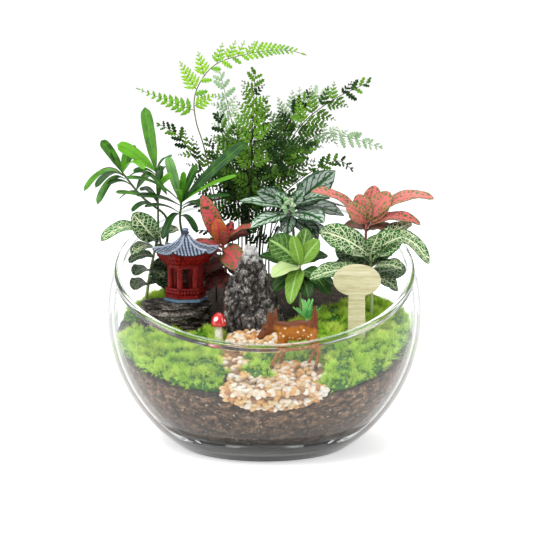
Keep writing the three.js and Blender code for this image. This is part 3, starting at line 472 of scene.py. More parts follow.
def grow_leaf(growth, outline, start, end, width, rise, face, tone, rows, columns, fold=0.1, ruffle=0.0,
              scallops=0, half=0.2):
    """A leaf from its stem to its tip, arched by the rise, with its upper side towards face."""
    start, end = np.array(start, float), np.array(end, float)
    control = (start + end) / 2 + (0, 0, rise * 2)
    shares = np.linspace(0, 1, rows + 1)
    t = shares[:, None]
    spine = (1 - t) ** 2 * start + 2 * t * (1 - t) * control + t**2 * end
    along = unit(2 * (1 - t) * (control - start) + 2 * t * (end - control))
    across = unit(np.cross(np.broadcast_to(unit(face), along.shape), along))
    up = np.cross(along, across)
    spread = np.interp(shares, *zip(*outline)) * width / 2
    if scallops:
        spread = spread * (1 + 0.05 * np.abs(np.sin(math.pi * scallops * shares)) - 0.025)
    side = np.linspace(1, -1, columns + 1)
    bulge = np.sin(math.pi * np.clip(shares, 0.02, 0.98))[:, None] ** 0.5
    lift = fold * width * (np.abs(side) ** 1.3)[None, :] * bulge
    wave = ruffle * width * np.abs(side)[None, :] ** 2 * np.sin(
        2 * math.pi * 2.5 * shares[:, None] + side[None, :] * 1.7 + tone * 9)
    offset = (lift + wave) * np.minimum(1, spread / (0.3 * width))[:, None]
    sheet = spine[:, None, :] + across[:, None, :] * (side[None, :] * spread[:, None])[..., None]
    sheet = sheet + up[:, None, :] * offset[..., None]
    normal = np.broadcast_to(up[:, None, :], sheet.shape)
    places = np.stack(np.broadcast_arrays((side / 2 + 0.5)[None, :], shares[:, None]), -1).reshape(-1, 2)
    growth.blade(sheet, normal, half, places, tone)


class Recipe(Graph):
    """A Geometry Nodes tree with named inputs. It ends in Realize Instances and Set Material."""

    def __init__(self, name, inputs):
        super().__init__(bpy.data.node_groups.new(name, "GeometryNodeTree"))
        face = self.tree.interface
        face.new_socket("Geometry", in_out="OUTPUT", socket_type="NodeSocketGeometry")
        face.new_socket("Geometry", in_out="INPUT", socket_type="NodeSocketGeometry")
        self.ids = {label: face.new_socket(label, in_out="INPUT", socket_type="NodeSocketFloat").identifier
                    for label in inputs}
        self.source = self.tree.nodes.new("NodeGroupInput")

    def given(self, label):
        return Wire(self, self.source.outputs[label])

    def number(self, low, high, seed):
        """A random number for each thing."""
        return self.node("FunctionNodeRandomValue", {"data_type": "FLOAT"}, {2: low, 3: high, 8: seed}, 1)

    def sown(self):
        """True where the mesh is marked for sowing."""
        mark = self.node("GeometryNodeInputNamedAttribute", {"data_type": "FLOAT"}, {"Name": "sown"})
        return self.math("GREATER_THAN", mark, 0.5)

    def vector(self, low, high, seed):
        """Three random numbers for each thing."""
        return self.node("FunctionNodeRandomValue", {"data_type": "FLOAT_VECTOR"}, {0: low, 1: high, 8: seed}, 0)

    def marked(self, geometry, name, value):
        """The instances, each with a number of its own."""
        settings = {"data_type": "FLOAT", "domain": "INSTANCE"}
        return self.node("GeometryNodeStoreNamedAttribute", settings,
                         {"Geometry": geometry, "Name": name, "Value": value})

    def end(self, geometry, finish):
        """Joins what grew with the surface that it stands on, as plain mesh with its material."""
        both = self.node("GeometryNodeJoinGeometry", {}, {0: geometry})
        self.tree.links.new(self.given("Geometry").socket, both.socket.node.inputs[0])
        real = self.node("GeometryNodeRealizeInstances", {}, {0: both})
        made = self.node("GeometryNodeSetMaterial", {}, {"Geometry": real, "Material": finish.material})
        out = self.tree.nodes.new("NodeGroupOutput")
        self.tree.links.new(made.socket, out.inputs[0])

    def cook(self, obj, **values):
        """Turns the object into what the tree makes of it."""
        modifier = obj.modifiers.new("recipe", "NODES")
        modifier.node_group = self.tree
        for label, value in values.items():
            modifier[self.ids[label]] = float(value)
        return settled(obj)


# ------------------------------------------------------------- finishes


def leaf_finish(name, blade, deep, vein, stem, net=0.0, laterals=7, rib=0.05, rough=0.42, cell=0.75,
                blotch=0.0, blotch_colour=None, young=None, line=0.1, specular=0.3):
    """A leaf: blade colours, midrib, side veins and a net between them, and a stem colour.

    The young colour is for the leaves whose tone is 1. The tone is partly a leaf's own and partly painted shade: a tone
    near 0 darkens the blade towards the deep colour, and its veins with it, for the leaves that stand in shadow.
    """
    finish = Finish(name, Roughness=rough, Specular_IOR_Level=specular)
    place = finish.place()
    across = finish.axis(finish.uv(), "X")
    along = finish.axis(finish.uv(), "Y")
    side = abs(across - 0.5) * 2
    tone = finish.mark("tone")
    mottle = finish.noise(place, 0.16, 3)
    colour = finish.mix(finish.step(mottle * 0.6 + tone * 0.7, 0.3, 0.95), deep, blade)
    if young:
        colour = finish.mix(finish.step(tone, 0.93, 0.99) * 0.85, colour, young)
    wander = (finish.noise(place, 0.5, 2) - 0.5) * 0.06
    distance = abs(finish.math("FRACT", (along - side * 0.32 + wander) * max(laterals, 1)) - 0.5)
    if blotch:
        patches = finish.step(finish.noise(place, 0.35, 2, 0.4), 0.34, 0.46)
        band = finish.step(side, 0.1, 0.2) * finish.step(side, 0.92, 0.7) * finish.step(distance, 0.44, 0.34)
        colour = finish.mix(patches * band * blotch * (tone * 0.6 + 0.4), colour, blotch_colour)
    veins = finish.step(side, rib * 2.4, rib * 0.8)
    if laterals:
        lateral = finish.step(distance, 0.425, 0.485) * finish.step(side, 0.98, 0.8)
        veins = finish.math("MAXIMUM", veins, lateral * (0.9 if net else 0.45))
    if net:
        lines = finish.step(finish.cells(place, cell), line * 1.5, line * 0.6) * net * finish.step(side, 1.0, 0.86)
        veins = finish.math("MAXIMUM", veins, lines)
    # The veins of the leaves in shadow are dimmed: painted shade.
    shaded = tuple(part * 0.3 for part in vein)
    colour = finish.mix(veins, colour, finish.mix(finish.step(tone, 0.02, 0.22), shaded, vein))
    colour = finish.mix(finish.mark("stem"), colour, stem)
    finish.feed("Base Color", colour)
    finish.bump(veins * -0.6 + finish.noise(place, 1.1, 2) * 0.5, 0.25)
    return finish


# Solid glass for the thick base and the bead, and a lighter shell of gloss for the even wall. The base's
# colour follows its height, in dark bands that are painted refraction of the soil above it. The wall's edge is
# painted dark where it is seen along its thickness, and beside the filling it is painted with the filling's colours, a
# painted refraction.
FILM = 0.024
GLASS_STRIPES = 12.5
base_glass = Finish("base_glass", Roughness=0.0, IOR=1.5, Transmission_Weight=1.0, Specular_IOR_Level=0.15)
# Dark bands by height: painted refraction of the soil seen through the base.
base_glass.feed("Base Color", base_glass.ramp(base_glass.axis(base_glass.place(), "Z") / GLASS_STRIPES, [
    (0.0, (0.3, 0.31, 0.28)), (0.12, (0.25, 0.26, 0.24)), (0.2, (0.01, 0.01, 0.009)), (0.4, (0.008, 0.008, 0.007)),
    (0.5, (0.2, 0.21, 0.19)), (0.68, (0.1, 0.1, 0.09)), (0.78, (0.006, 0.006, 0.005)), (1.0, (0.012, 0.01, 0.009))]))
bead_glass = Finish("bead_glass", Base_Color=(0.82, 0.86, 0.84, 1), Roughness=0.0, IOR=1.5, Transmission_Weight=1.0)
glass = Finish("clear_glass", Roughness=0.04, Specular_IOR_Level=0.3)
facing = glass.node("ShaderNodeLayerWeight", {}, {"Blend": 0.5}, "Facing")
spot = glass.place()
level = glass.axis(spot, "Z") - glass.axis(spot, "Y") * SOIL_SLOPE
# Where the wall beside the filling is seen edge-on, it is painted with the soil's brown and the moss's green, a painted
# refraction, with a painted dark outline at the very edge.
painted_refraction_band = glass.step(facing, 0.7, 0.78) * glass.step(level, SOIL_LEVEL + 14, SOIL_LEVEL + 7)
glass.feed("Metallic", 1 - painted_refraction_band)
painted_filling_colour = glass.mix(glass.step(level, SOIL_LEVEL - 3, SOIL_LEVEL + 1), (0.1, 0.075, 0.057), (0.12, 0.22, 0.03))
painted_filling_colour = glass.mix(glass.step(facing, 0.9, 0.98) * 0.7, painted_filling_colour, (0.05, 0.05, 0.05))
# Elsewhere the wall seen edge-on is painted dark.
glass_tint_with_painted_edge = glass.mix(glass.step(facing, 0.76, 0.87), (0.94, 0.96, 0.96), (0.05, 0.06, 0.06))
glass.feed("Base Color", glass.mix(painted_refraction_band, glass_tint_with_painted_edge, painted_filling_colour))
clear = glass.node("ShaderNodeBsdfTransparent", {}, {"Color": (0.985, 0.992, 0.99, 1)})
shine = glass.math("MAXIMUM", facing ** 5 * 0.5 + glass.step(facing, 0.78, 0.88) * 0.4 + FILM, painted_refraction_band * 0.72)
gloss = glass.node("ShaderNodeMixShader", {}, {0: shine, 1: clear, 2: Wire(glass, glass.shader.outputs[0])})
glass.tree.links.new(gloss.socket, glass.tree.nodes["Material Output"].inputs["Surface"])

earth = Finish("damp_soil", Roughness=0.95)
spot = earth.place()
fibre = earth.noise(earth.stretched(spot, (0.6, 0.6, 1.1)), 0.32, 6, 0.74)
crumb = earth.noise(spot, 0.9, 4, 0.7)
earth_colour = earth.ramp(fibre * 0.65 + crumb * 0.35, [
    (0.4, (0.008, 0.005, 0.003)), (0.47, (0.038, 0.021, 0.012)), (0.53, (0.13, 0.072, 0.042)),
    (0.61, (0.38, 0.24, 0.15))])
speck = earth.step(earth.cells(spot, 0.24, "F1"), 0.15, 0.1)
earth_colour = earth.mix(speck * 0.9, earth_colour, (0.62, 0.55, 0.46))
orange = earth.step(earth.cells(spot, 0.17, "F1"), 0.13, 0.1)
earth_colour = earth.mix(orange * 0.8, earth_colour, (0.5, 0.2, 0.05))
# The soil's top surface is painted near black: painted shade under the moss and the plants.
top = earth.step(earth.axis(spot, "Z") - earth.axis(spot, "Y") * SOIL_SLOPE, SOIL_LEVEL - 3, SOIL_LEVEL - 1)
# Darker towards the bottom.
depth = earth.step(earth.axis(spot, "Z"), 45, 8)
earth_colour = earth.mix(depth * 0.55, earth_colour, (0.02, 0.013, 0.01))
earth.feed("Base Color", earth.mix(top * 0.75, earth_colour, (0.012, 0.008, 0.005)))
earth.bump(crumb * 0.7 + fibre * 0.6, 1.2)

moss = Finish("spiky_moss", Roughness=0.65, Specular_IOR_Level=0.3)
spot = moss.place()
moss_tip = moss.mark("tip")
moss_tone = moss.mark("tone")
patch = moss.step(moss.noise(spot, 0.07, 3), 0.38, 0.64)
# Each shoot goes from a dark foot to a bright tip. The tips' pale yellow-green is their own; the dark foot is partly
# older growth and partly painted shade.
young = moss.mix(patch * 0.3 + moss_tone * 0.7, (0.34, 0.78, 0.016), (1.0, 1.0, 0.24))
old_growth_and_shade = moss.mix(moss_tone, (0.026, 0.12, 0.004), (0.27, 0.64, 0.014))
moss.feed("Base Color", moss.mix(moss_tip ** 0.7, old_growth_and_shade, young))

pebble = Finish("river_gravel", Roughness=0.38, Coat_Weight=0.35, Coat_Roughness=0.15, Subsurface_Weight=0.15,
                Subsurface_Scale=0.002)
spot = pebble.place()
pebble_tone = pebble.mark("tone")
swirl = pebble.noise(spot, 0.5, 3)
# The darkest stops are for the bed between the stones: painted shade.
pebble_colour = pebble.ramp(pebble_tone + (swirl - 0.5) * 0.16, [
    (0.0, (0.1, 0.06, 0.035)), (0.14, (0.3, 0.14, 0.05)), (0.25, (0.52, 0.23, 0.055)), (0.4, (0.64, 0.38, 0.14)),
    (0.58, (0.66, 0.5, 0.33)), (1.0, (0.76, 0.7, 0.64))])
pebble.feed("Base Color", pebble_colour)
pebble.bump(pebble.noise(spot, 1.6, 3), 0.2)


def stone_finish(name, stops, pale, layers):
    """Broken stone: darker in its cracks, painted shade, and pale on its raised edges, partly wear and partly painted
    highlight.
    """
    finish = Finish(name, Roughness=0.88, Specular_IOR_Level=0.3)
    spot = finish.place()
    stretched = finish.stretched(spot, (0.35, 0.35, 1.5) if layers else (1, 1, 0.7))
    grain = finish.noise(stretched, 0.3, 6, 0.75)
    fine = finish.noise(spot, 0.75, 4, 0.75)
    worn = finish.mark("worn")
    colour = finish.ramp(grain * 0.45 + fine * 0.35 + worn * 0.2, stops)
    specks = finish.step(fine * 0.8 + worn * 0.25, 0.55, 0.66)
    colour = finish.mix(specks * 0.75, colour, pale)
    finish.feed("Base Color", colour)
    finish.bump(grain + fine * 0.6, 2.2)
    return finish, colour, spot


layered, _, _ = stone_finish("layered_stone", [
    (0.36, (0.006, 0.005, 0.004)), (0.46, (0.05, 0.043, 0.036)), (0.58, (0.2, 0.175, 0.145))], (0.55, 0.5, 0.44), True)
dark_stone, stone_colour, spot = stone_finish("dark_stone", [
    (0.38, (0.01, 0.009, 0.008)), (0.46, (0.06, 0.053, 0.048)), (0.56, (0.22, 0.2, 0.185))], (0.62, 0.59, 0.56), False)
# The tall stone's top is painted pale: painted light on its crown.
painted_light_crown = dark_stone.step(dark_stone.axis(spot, "Z") + (dark_stone.noise(spot, 0.3, 4) - 0.5) * 16, 116, 123)
dark_stone.feed("Base Color", dark_stone.mix(painted_light_crown * 0.85, stone_colour, (0.74, 0.74, 0.72)))


def resin(name, colour, dark, rough, coat=0.3, specular=0.5):
    """Painted resin: a wash in darker patches at random, with small brush marks."""
    finish = Finish(name, Roughness=rough, Coat_Weight=coat, Coat_Roughness=0.2, Specular_IOR_Level=specular)
    spot = finish.place()
    wash = finish.noise(spot, 0.5, 4)
    shade = finish.mix(finish.step(wash, 0.3, 0.62), dark, colour)
    finish.feed("Base Color", shade)
    finish.bump(finish.noise(spot, 1.5, 3), 0.15)
    return finish, shade, spot


plinth_paint, _, _ = resin("plinth_paint", (0.065, 0.13, 0.2), (0.03, 0.06, 0.10), 0.5)
red_paint, _, _ = resin("red_paint", (0.18, 0.004, 0.0025), (0.06, 0.0015, 0.001), 0.45, 0.02, 0.15)
roof_paint, roof_shade, spot = resin("roof_paint", (0.24, 0.3, 0.41), (0.08, 0.12, 0.2), 0.5, 0.1)
# Paler on the tiles' crests: painted highlight. Dark navy in the grooves, along the eave's edge and under the roof:
# partly painted lines and partly painted shade.
crest_light_groove_shade = roof_paint.mark("groove")
roof_shade = roof_paint.mix(roof_paint.step(crest_light_groove_shade, 0.22, 0.0) * 0.65, roof_shade, (0.45, 0.5, 0.58))
roof_paint.feed("Base Color", roof_paint.mix(roof_paint.step(crest_light_groove_shade, 0.15, 0.9), roof_shade, (0.008, 0.014, 0.032)))

cap_paint, cap_shade, spot = resin("mushroom_paint", (0.62, 0.012, 0.010), (0.42, 0.008, 0.008), 0.12, 1.0)
CAP_SPOTS = ((-30.9, -18.0, 83.2, 1.4), (-25.0, -16.0, 82.0, 0.8), (-33.2, -12.6, 82.4, 0.9), (-28.2, -9.9, 83.2, 1.1))
white = None
for x, y, z, radius in CAP_SPOTS:
    away = cap_paint.node("ShaderNodeVectorMath", {"operation": "DISTANCE"}, {0: spot, 1: (x, y, z)}, "Value")
    dot = cap_paint.step(away, radius + 0.12, radius - 0.12)
    white = dot if white is None else cap_paint.math("MAXIMUM", white, dot)
cap_paint.feed("Base Color", cap_paint.mix(white, cap_shade, (0.86, 0.84, 0.8)))
stalk_paint, _, _ = resin("mushroom_stalk_paint", (0.82, 0.79, 0.7), (0.6, 0.55, 0.44), 0.35)

fawn_paint, fawn_shade, spot = resin("fawn_paint", (0.36, 0.125, 0.01), (0.24, 0.07, 0.007), 0.36, 0.03, 0.2)
back = fawn_paint.mark("back")
fawn_dots = fawn_paint.step(fawn_paint.cells(spot, 0.36, "F1"), 0.27, 0.21) * fawn_paint.mark("flank")
fawn_colour = fawn_paint.mix(back, fawn_shade, (0.13, 0.032, 0.007))
fawn_colour = fawn_paint.mix(fawn_dots * 0.95, fawn_colour, (0.7, 0.62, 0.48))
fawn_colour = fawn_paint.mix(fawn_paint.mark("ink"), fawn_colour, (0.01, 0.006, 0.005))
fawn_paint.feed("Base Color", fawn_colour)

wood = Finish("pale_wood", Roughness=0.62)
spot = wood.place()
grain = wood.noise(wood.stretched(spot, (0.09, 1, 1.1)), 1.1, 5, 0.65)
rings = wood.noise(wood.stretched(spot, (0.02, 0.3, 0.4)), 0.9, 3)
wood.feed("Base Color", wood.ramp(grain * 0.6 + rings * 0.4, [
    (0.34, (0.34, 0.3, 0.15)), (0.5, (0.52, 0.48, 0.28)), (0.64, (0.62, 0.59, 0.41))]))
wood.bump(grain, 0.25)

mint = leaf_finish("mint_leaf", (0.24, 0.62, 0.18), (0.1, 0.42, 0.12), (0.4, 0.7, 0.32), (0.2, 0.4, 0.2), rough=0.5)
strap = leaf_finish("strap_leaf", (0.12, 0.38, 0.012), (0.006, 0.05, 0.006), (0.1, 0.3, 0.03), (0.06, 0.1, 0.02),
                    laterals=0, rib=0.045, rough=0.36, young=(0.2, 0.42, 0.14))
silver = leaf_finish("silver_leaf", (0.025, 0.12, 0.025), (0.006, 0.045, 0.012), (0.03, 0.12, 0.03),
                     (0.16, 0.2, 0.07), laterals=7, rough=0.24, blotch=0.95, blotch_colour=(0.64, 0.74, 0.66))
white_veined = leaf_finish("white_veined_leaf", (0.035, 0.19, 0.02), (0.004, 0.04, 0.006), (0.8, 0.86, 0.56),
                           (0.3, 0.38, 0.16), net=0.85, laterals=7, rib=0.035, cell=0.38, line=0.05,
                           young=(0.55, 0.64, 0.36))
pale_veined = leaf_finish("pale_veined_leaf", (0.17, 0.34, 0.03), (0.01, 0.07, 0.006), (0.36, 0.58, 0.17),
                          (0.3, 0.4, 0.14), net=0.2, laterals=7, rib=0.06, cell=0.4, line=0.07, young=(0.6, 0.7, 0.36))
red_veined = leaf_finish("red_veined_leaf", (0.12, 0.2, 0.04), (0.02, 0.03, 0.008), (0.66, 0.075, 0.1),
                         (0.3, 0.1, 0.07), net=0.9, laterals=8, rib=0.09, cell=0.4, line=0.125, young=(0.7, 0.2, 0.02))
pink_veined = leaf_finish("pink_veined_leaf", (0.17, 0.27, 0.07), (0.08, 0.11, 0.025), (0.74, 0.17, 0.17),
                          (0.4, 0.14, 0.1), net=0.9, laterals=8, rib=0.09, cell=0.4, line=0.13)
# The fern's one green in three copies: lit for the arched front frond, shaded for the fronds inside the clump and
# washed pale for the fronds at the back: painted light and painted shade.
fern_finishes = {
    "light": leaf_finish("fern_light", (0.26, 0.52, 0.02), (0.09, 0.3, 0.012), (0.12, 0.34, 0.02), (0.07, 0.09, 0.02),
                         laterals=0, rough=0.5),
    "dark": leaf_finish("fern_dark", (0.13, 0.3, 0.02), (0.004, 0.026, 0.002), (0.02, 0.08, 0.008),
                        (0.02, 0.016, 0.008), laterals=0, rough=0.5, specular=0.15),
    "pale": leaf_finish("fern_pale", (0.46, 0.6, 0.38), (0.26, 0.42, 0.22), (0.4, 0.54, 0.34), (0.2, 0.24, 0.15),
                        laterals=0, rough=0.55),
}


# ------------------------------------------------------------- the glass bowl and the soil


def on_sphere(radius, polar, azimuth):
    """A point on a sphere round the bowl's centre; the polar angle is counted from straight down."""
    polar = np.broadcast_to(polar, azimuth.shape)
    out = np.stack([np.sin(polar) * np.cos(azimuth), np.sin(polar) * np.sin(azimuth), -np.cos(polar)], -1)
    return BOWL_CENTRE + radius * out


def plane_angle(normal_y, normal_z, level, azimuth):
    """The polar angle at which a unit sphere meets a plane that tilts only front to back."""
    across = normal_y * np.sin(azimuth)
    middle = np.mod(np.arctan2(across, -normal_z), 2 * math.pi)
    return middle - np.arccos(level / np.hypot(across, normal_z))


def level_ring(radius, z, around):
    """A level circle of points about the bowl's axis."""
    return np.stack([radius * np.cos(around), radius * np.sin(around), np.full(around.shape, float(z))], -1)


def glass_bowl():
    """The bowl as one closed skin: its foot, outer wall, bead, inner wall and floor."""
    around = azimuths(160)
    middle = BOWL_RADIUS - WALL / 2
    rim = plane_angle(-math.sin(RIM_TILT), math.cos(RIM_TILT), RIM_OFFSET / middle, around)
    under = rim - BEAD_RADIUS / middle
    foot = math.asin((FOOT_RADIUS + FOOT_CURVE) / BOWL_RADIUS)
    floor = math.acos((BOWL_CENTRE[2] - BASE_TOP - FOOT_CURVE) / INNER_RADIUS)
    rings = [level_ring(FOOT_RADIUS * 0.5, 0, around), level_ring(FOOT_RADIUS - 1.5, 0, around)]
    corner = BOWL_CENTRE[2] - BOWL_RADIUS * math.cos(foot)
    for share in np.linspace(0, 1, 7)[:-1]:
        bend = share * math.pi / 2
        rings.append(level_ring(FOOT_RADIUS + FOOT_CURVE * math.sin(bend), corner * (1 - math.cos(bend)), around))
    for share in np.linspace(0, 1, 41):
        rings.append(on_sphere(BOWL_RADIUS, foot + (under - foot) * share, around))
    outward = (on_sphere(1, rim, around) - BOWL_CENTRE)
    upward = np.stack([np.cos(rim) * np.cos(around), np.cos(rim) * np.sin(around), np.sin(rim)], -1)
    for bend in np.radians(np.linspace(-20, 200, 23)):
        bead = BEAD_RADIUS * (outward * math.cos(bend) + upward * math.sin(bend))
        rings.append(on_sphere(middle, rim, around) + bead)
    for share in np.linspace(1, 0, 41):
        rings.append(on_sphere(INNER_RADIUS, floor + (under - floor) * share, around))
    edge = INNER_RADIUS * math.sin(floor)
    low = BOWL_CENTRE[2] - INNER_RADIUS * math.cos(floor)
    for share in np.linspace(0, 1, 9)[1:]:
        bend = share * math.pi / 2
        rings.append(level_ring(edge - 9 * math.sin(bend), BASE_TOP + (low - BASE_TOP) * (1 - math.sin(bend)), around))
    rings.append(level_ring(20, BASE_TOP, around))
    bowl = skin("bowl_glass", (0, 0, 0), rings, (0, 0, BASE_TOP))
    finish_piece(bowl, glass, ["glass_bowl"])
    bowl.data.materials.append(base_glass.material)
    bowl.data.materials.append(bead_glass.material)
    centres = np.zeros(len(bowl.data.polygons) * 3)
    bowl.data.polygons.foreach_get("center", centres)
    centres = centres.reshape(-1, 3) / MM - BOWL_CENTRE
    tilted = centres[:, 2] * math.cos(RIM_TILT) - centres[:, 1] * math.sin(RIM_TILT)
    base = centres[:, 2] < THICK_GLASS_TOP - BOWL_CENTRE[2]
    bead = tilted > RIM_OFFSET - BEAD_RADIUS
    bowl.data.polygons.foreach_set("material_index", (base + bead * 2).astype(np.int32))


def soil_mass():
    """The soil: it lies against the glass, its top is crumbly, and it leaves a pocket for the stones."""
    around = azimuths(200)
    radius = INNER_RADIUS - CLEARANCE - 0.4
    floor = BASE_TOP + CLEARANCE
    low = math.acos((BOWL_CENTRE[2] - floor - 5) / radius)
    top = plane_angle(-SOIL_SLOPE, 1, (SOIL_LEVEL - BOWL_CENTRE[2]) / radius, around)
    rings = [level_ring(r, floor + (0.8 if r > 45 else 0), around) for r in (20, 40, 50)]
    for share in np.linspace(0, 1, 44):
        rings.append(on_sphere(radius, low + (top - low) * share, around))
    rim = rings[-1]
    for share in np.linspace(0, 1, 56)[1:-1]:
        rings.append(rim * (1 - share) + np.array([0, 0, SOIL_LEVEL]) * share)
    soil = skin("soil_bed", (0, 0, floor), rings, (0, 0, SOIL_LEVEL))
    places = points_of(soil.data)
    out = normals_of(soil.data)
    rough = lumps(places, 5, 3) * 0.9 + lumps(places, 1.7, 4, 2) * 0.35
    side = out[:, 2] < 0.7
    move = np.where(side, np.minimum(0, rough * 0.6 - 0.25), rough * 0.5)
    move_points(soil.data, places + out * move[:, None])
    turn = np.degrees(np.arctan2(places[:, 1], places[:, 0]))
    pocket = np.clip((turn - WALL_STONES[0] + 1) / 3, 0, 1) * np.clip((WALL_STONES[1] + 1 - turn) / 3, 0, 1)
    pocket = pocket * np.clip((places[:, 2] - ground(places[:, 1]) + 11) / 3, 0, 1)
    kept_inside(soil.data, INNER_RADIUS - 0.2 - 3.4 * pocket[:, None])
    finish_piece(soil, earth, ["soil"])


glass_bowl()
soil_mass()


# ------------------------------------------------------------- moss and gravel

# Each mat of moss: its middle, its height and its outline in plan. The one on the path has no solid.
MATS = {
    "moss_left": ((-58, -36), 6.5, (
        (-84, 6), (-92, -6), (-88, -26), (-77, -46), (-60, -64), (-42, -76), (-27, -79), (-26, -67), (-24, -57),
        (-28.5, -44), (-28.5, -26), (-40, -28), (-50, -24), (-51, -8), (-62, -1), (-72, 1))),
    "moss_centre": ((-36, -12), 5, (
        (-49, -5), (-48, -21), (-38, -26), (-28, -23), (-24, -12), (-26.5, -6), (-29, 2), (-38, 4))),
    "moss_front": ((5, -35), 4.5, ((2, -42), (12, -42.5), (13.5, -35), (12, -27), (-3, -29.5), (-6.5, -38))),
    "moss_path": ((-3, -48), 7, (
        (-12.5, -50), (-9, -64), (-1, -67.5), (5, -63), (1, -57), (2, -46), (3, -34), (-3, -29.5), (-11, -31))),
    "moss_right": ((52, -12), 8, (
        (15.5, -8), (15.5, -26), (15.5, -42.5), (35.5, -44), (40, -60), (35, -77), (45, -77), (60, -66), (74, -48),
        (86, -24), (92, 2), (91, 26), (83, 42), (66, 44), (46, 34), (30, 22), (16, 6))),
    "moss_back_left": ((-74, 44), 6, (
        (-84, 34), (-90, 30), (-91, 20), (-84, 16), (-82, 22), (-80, 30), (-66, 38), (-52, 38), (-54, 54), (-60, 68),
        (-74, 56), (-82, 43))),
}
PATH = ((-24, -72), (-12, -86), (4, -88), (20, -85), (33, -76), (38, -61), (34, -46), (16, -44.5), (2, -44),
        (-8, -40), (-5, -28), (13, -25), (14, -13), (-8, -12.5), (-22, -13), (-26, -24), (-27, -44), (-22, -58))
HEAP = ((-22, -12), (-22, -22), (-14, -29), (2, -29), (13, -24), (14, -14), (4, -9), (-10, -8))


def rounded_outline(outline, count):
    """A closed outline in plan with its corners rounded, as evenly spaced points."""
    spots = np.array([(*spot, 0.0) for spot in outline])
    loop = Route(np.vstack([spots, spots[:1]]))
    return np.array([loop.place(i / count)[:2] for i in range(count)])


def mat(name, outline, centre, height, lump, seed):
    """A low mound on the soil over an outline in plan."""
    edge = rounded_outline(outline, 96)
    rings = []
    for share, level in [(1, 0.0), (1, 0.45), *((1 - s, 0.45 + 0.55 * min(1, s * 3.4) ** 0.6)
                                                 for s in np.linspace(0.02, 0.97, 22))]:
        plan = np.array(centre) + (edge - centre) * share
        rings.append(np.column_stack([plan, ground(plan[:, 1]) + CLEARANCE + height * level]))
    base = (*centre, ground(centre[1]) + CLEARANCE)
    made = skin(name, base, rings, (base[0], base[1], base[2] + height))
    places = points_of(made.data)
    above = np.clip(places[:, 2] - ground(places[:, 1]) - CLEARANCE, 0, height) / height
    places[:, 2] += lumps(places, 9, seed, 3) * lump * above
    move_points(made.data, places)
    kept_inside(made.data, INNER_RADIUS - 0.7)
    set_mark(made.data, "sown", normals_of(made.data)[:, 2] > 0.05)
    return made


def gravel_wall():
    """A thin bed for the stones that lie along the glass and have slid down it."""
    columns = 41
    around = np.radians(np.linspace(*WALL_STONES, columns))
    radius = INNER_RADIUS - 3
    top = plane_angle(-SOIL_SLOPE, 1, (SOIL_LEVEL - BOWL_CENTRE[2]) / radius, around)
    depth = 8.5 * np.sin(np.linspace(0, math.pi, columns)) ** 0.6 / radius
    above = 3 / radius
    rows = [on_sphere(radius, top + above - share * (depth + above), around) for share in np.linspace(1, 0, 9)]
    rows += [rows[-1] * (1 - share) + np.array([0, 0, SOIL_LEVEL * share]) for share in (0.03, 0.06, 0.1, 0.14)]
    sheet = np.array(rows)
    growth = Growth()
    growth.blade(sheet, unit(sheet - BOWL_CENTRE + (0, 0, 60)), 0.4, np.zeros((len(rows) * columns, 2)), 0)
    wall = mesh_object("gravel_wall", np.vstack(growth.points), growth.faces)
    set_mark(wall.data, "sown", np.repeat([1, 0], len(rows) * columns))
    return wall


def spike_tuft():
    """One moss shoot: narrow leaves that spread from its foot, each a golden angle on from the last."""
    points, faces, tips = [], [], []
    spikes, golden_angle = 10, 2.4
    for i in range(spikes):
        angle = i * golden_angle
        lean = 0.15 + 0.85 * (i / spikes)
        length = 7.2 - 3.0 * lean
        way = unit((math.cos(angle) * lean, math.sin(angle) * lean, 1.05 - 0.55 * lean))
        side = unit(np.cross(way, (0, 0, 1) if lean > 0.3 else (1, 0, 0)))
        other = np.cross(way, side)
        start = len(points)
        points += [0.34 * side, -0.17 * side + 0.3 * other, -0.17 * side - 0.3 * other, way * length]
        faces += [(start, start + 2, start + 1)]
        faces += [(start + a, start + b, start + 3) for a, b in ((0, 1), (1, 2), (2, 0))]
        tips += [0, 0, 0, 1]
    tuft = mesh_object("moss_tuft", points, faces, smooth=False)
    set_mark(tuft.data, "tip", tips)
    return tuft


def moss_recipe(tuft):
    recipe = Recipe("moss_carpet", ["Shoots per square metre", "Seed"])
    spread = recipe.node("GeometryNodeDistributePointsOnFaces", {"distribute_method": "RANDOM"}, {
        "Mesh": recipe.given("Geometry"), "Selection": recipe.sown(),
        "Density": recipe.given("Shoots per square metre"), "Seed": recipe.given("Seed")})
    turned_up = Wire(recipe, spread.socket.node.outputs["Rotation"])
    spin = recipe.node("FunctionNodeEulerToRotation", {}, {
        0: recipe.vector((-0.42, -0.42, 0), (0.42, 0.42, 6.28), 3)})
    turning = recipe.node("FunctionNodeRotateRotation", {"rotation_space": "LOCAL"}, {0: turned_up, 1: spin})
    shoot = recipe.node("GeometryNodeObjectInfo", {}, {"Object": tuft}, "Geometry")
    clump = recipe.node("ShaderNodeTexNoise", {"noise_dimensions": "3D"}, {"Scale": 120.0, "Detail": 2.0})
    size = recipe.number(0.6, 1.0, 5) * recipe.step(clump, 0.3, 0.62) * 0.85 + 0.15
    shoots = recipe.node("GeometryNodeInstanceOnPoints", {}, {
        "Points": spread, "Instance": shoot, "Rotation": turning, "Scale": size})
    # Shoots in the gaps between clumps get darker tones: painted shade.
    shoots = recipe.marked(shoots, "tone", recipe.number(0, 0.72, 6) + recipe.step(clump, 0.38, 0.6) * 0.28)
    recipe.end(shoots, moss)
    return recipe


def pebble_shape():
    """One pebble before its lumps: a flattened ball."""
    profile = [(math.sin(a), -0.72 * math.cos(a)) for a in np.linspace(0, math.pi, 6)]
    return turned("pebble", profile, (0, 0), 8)


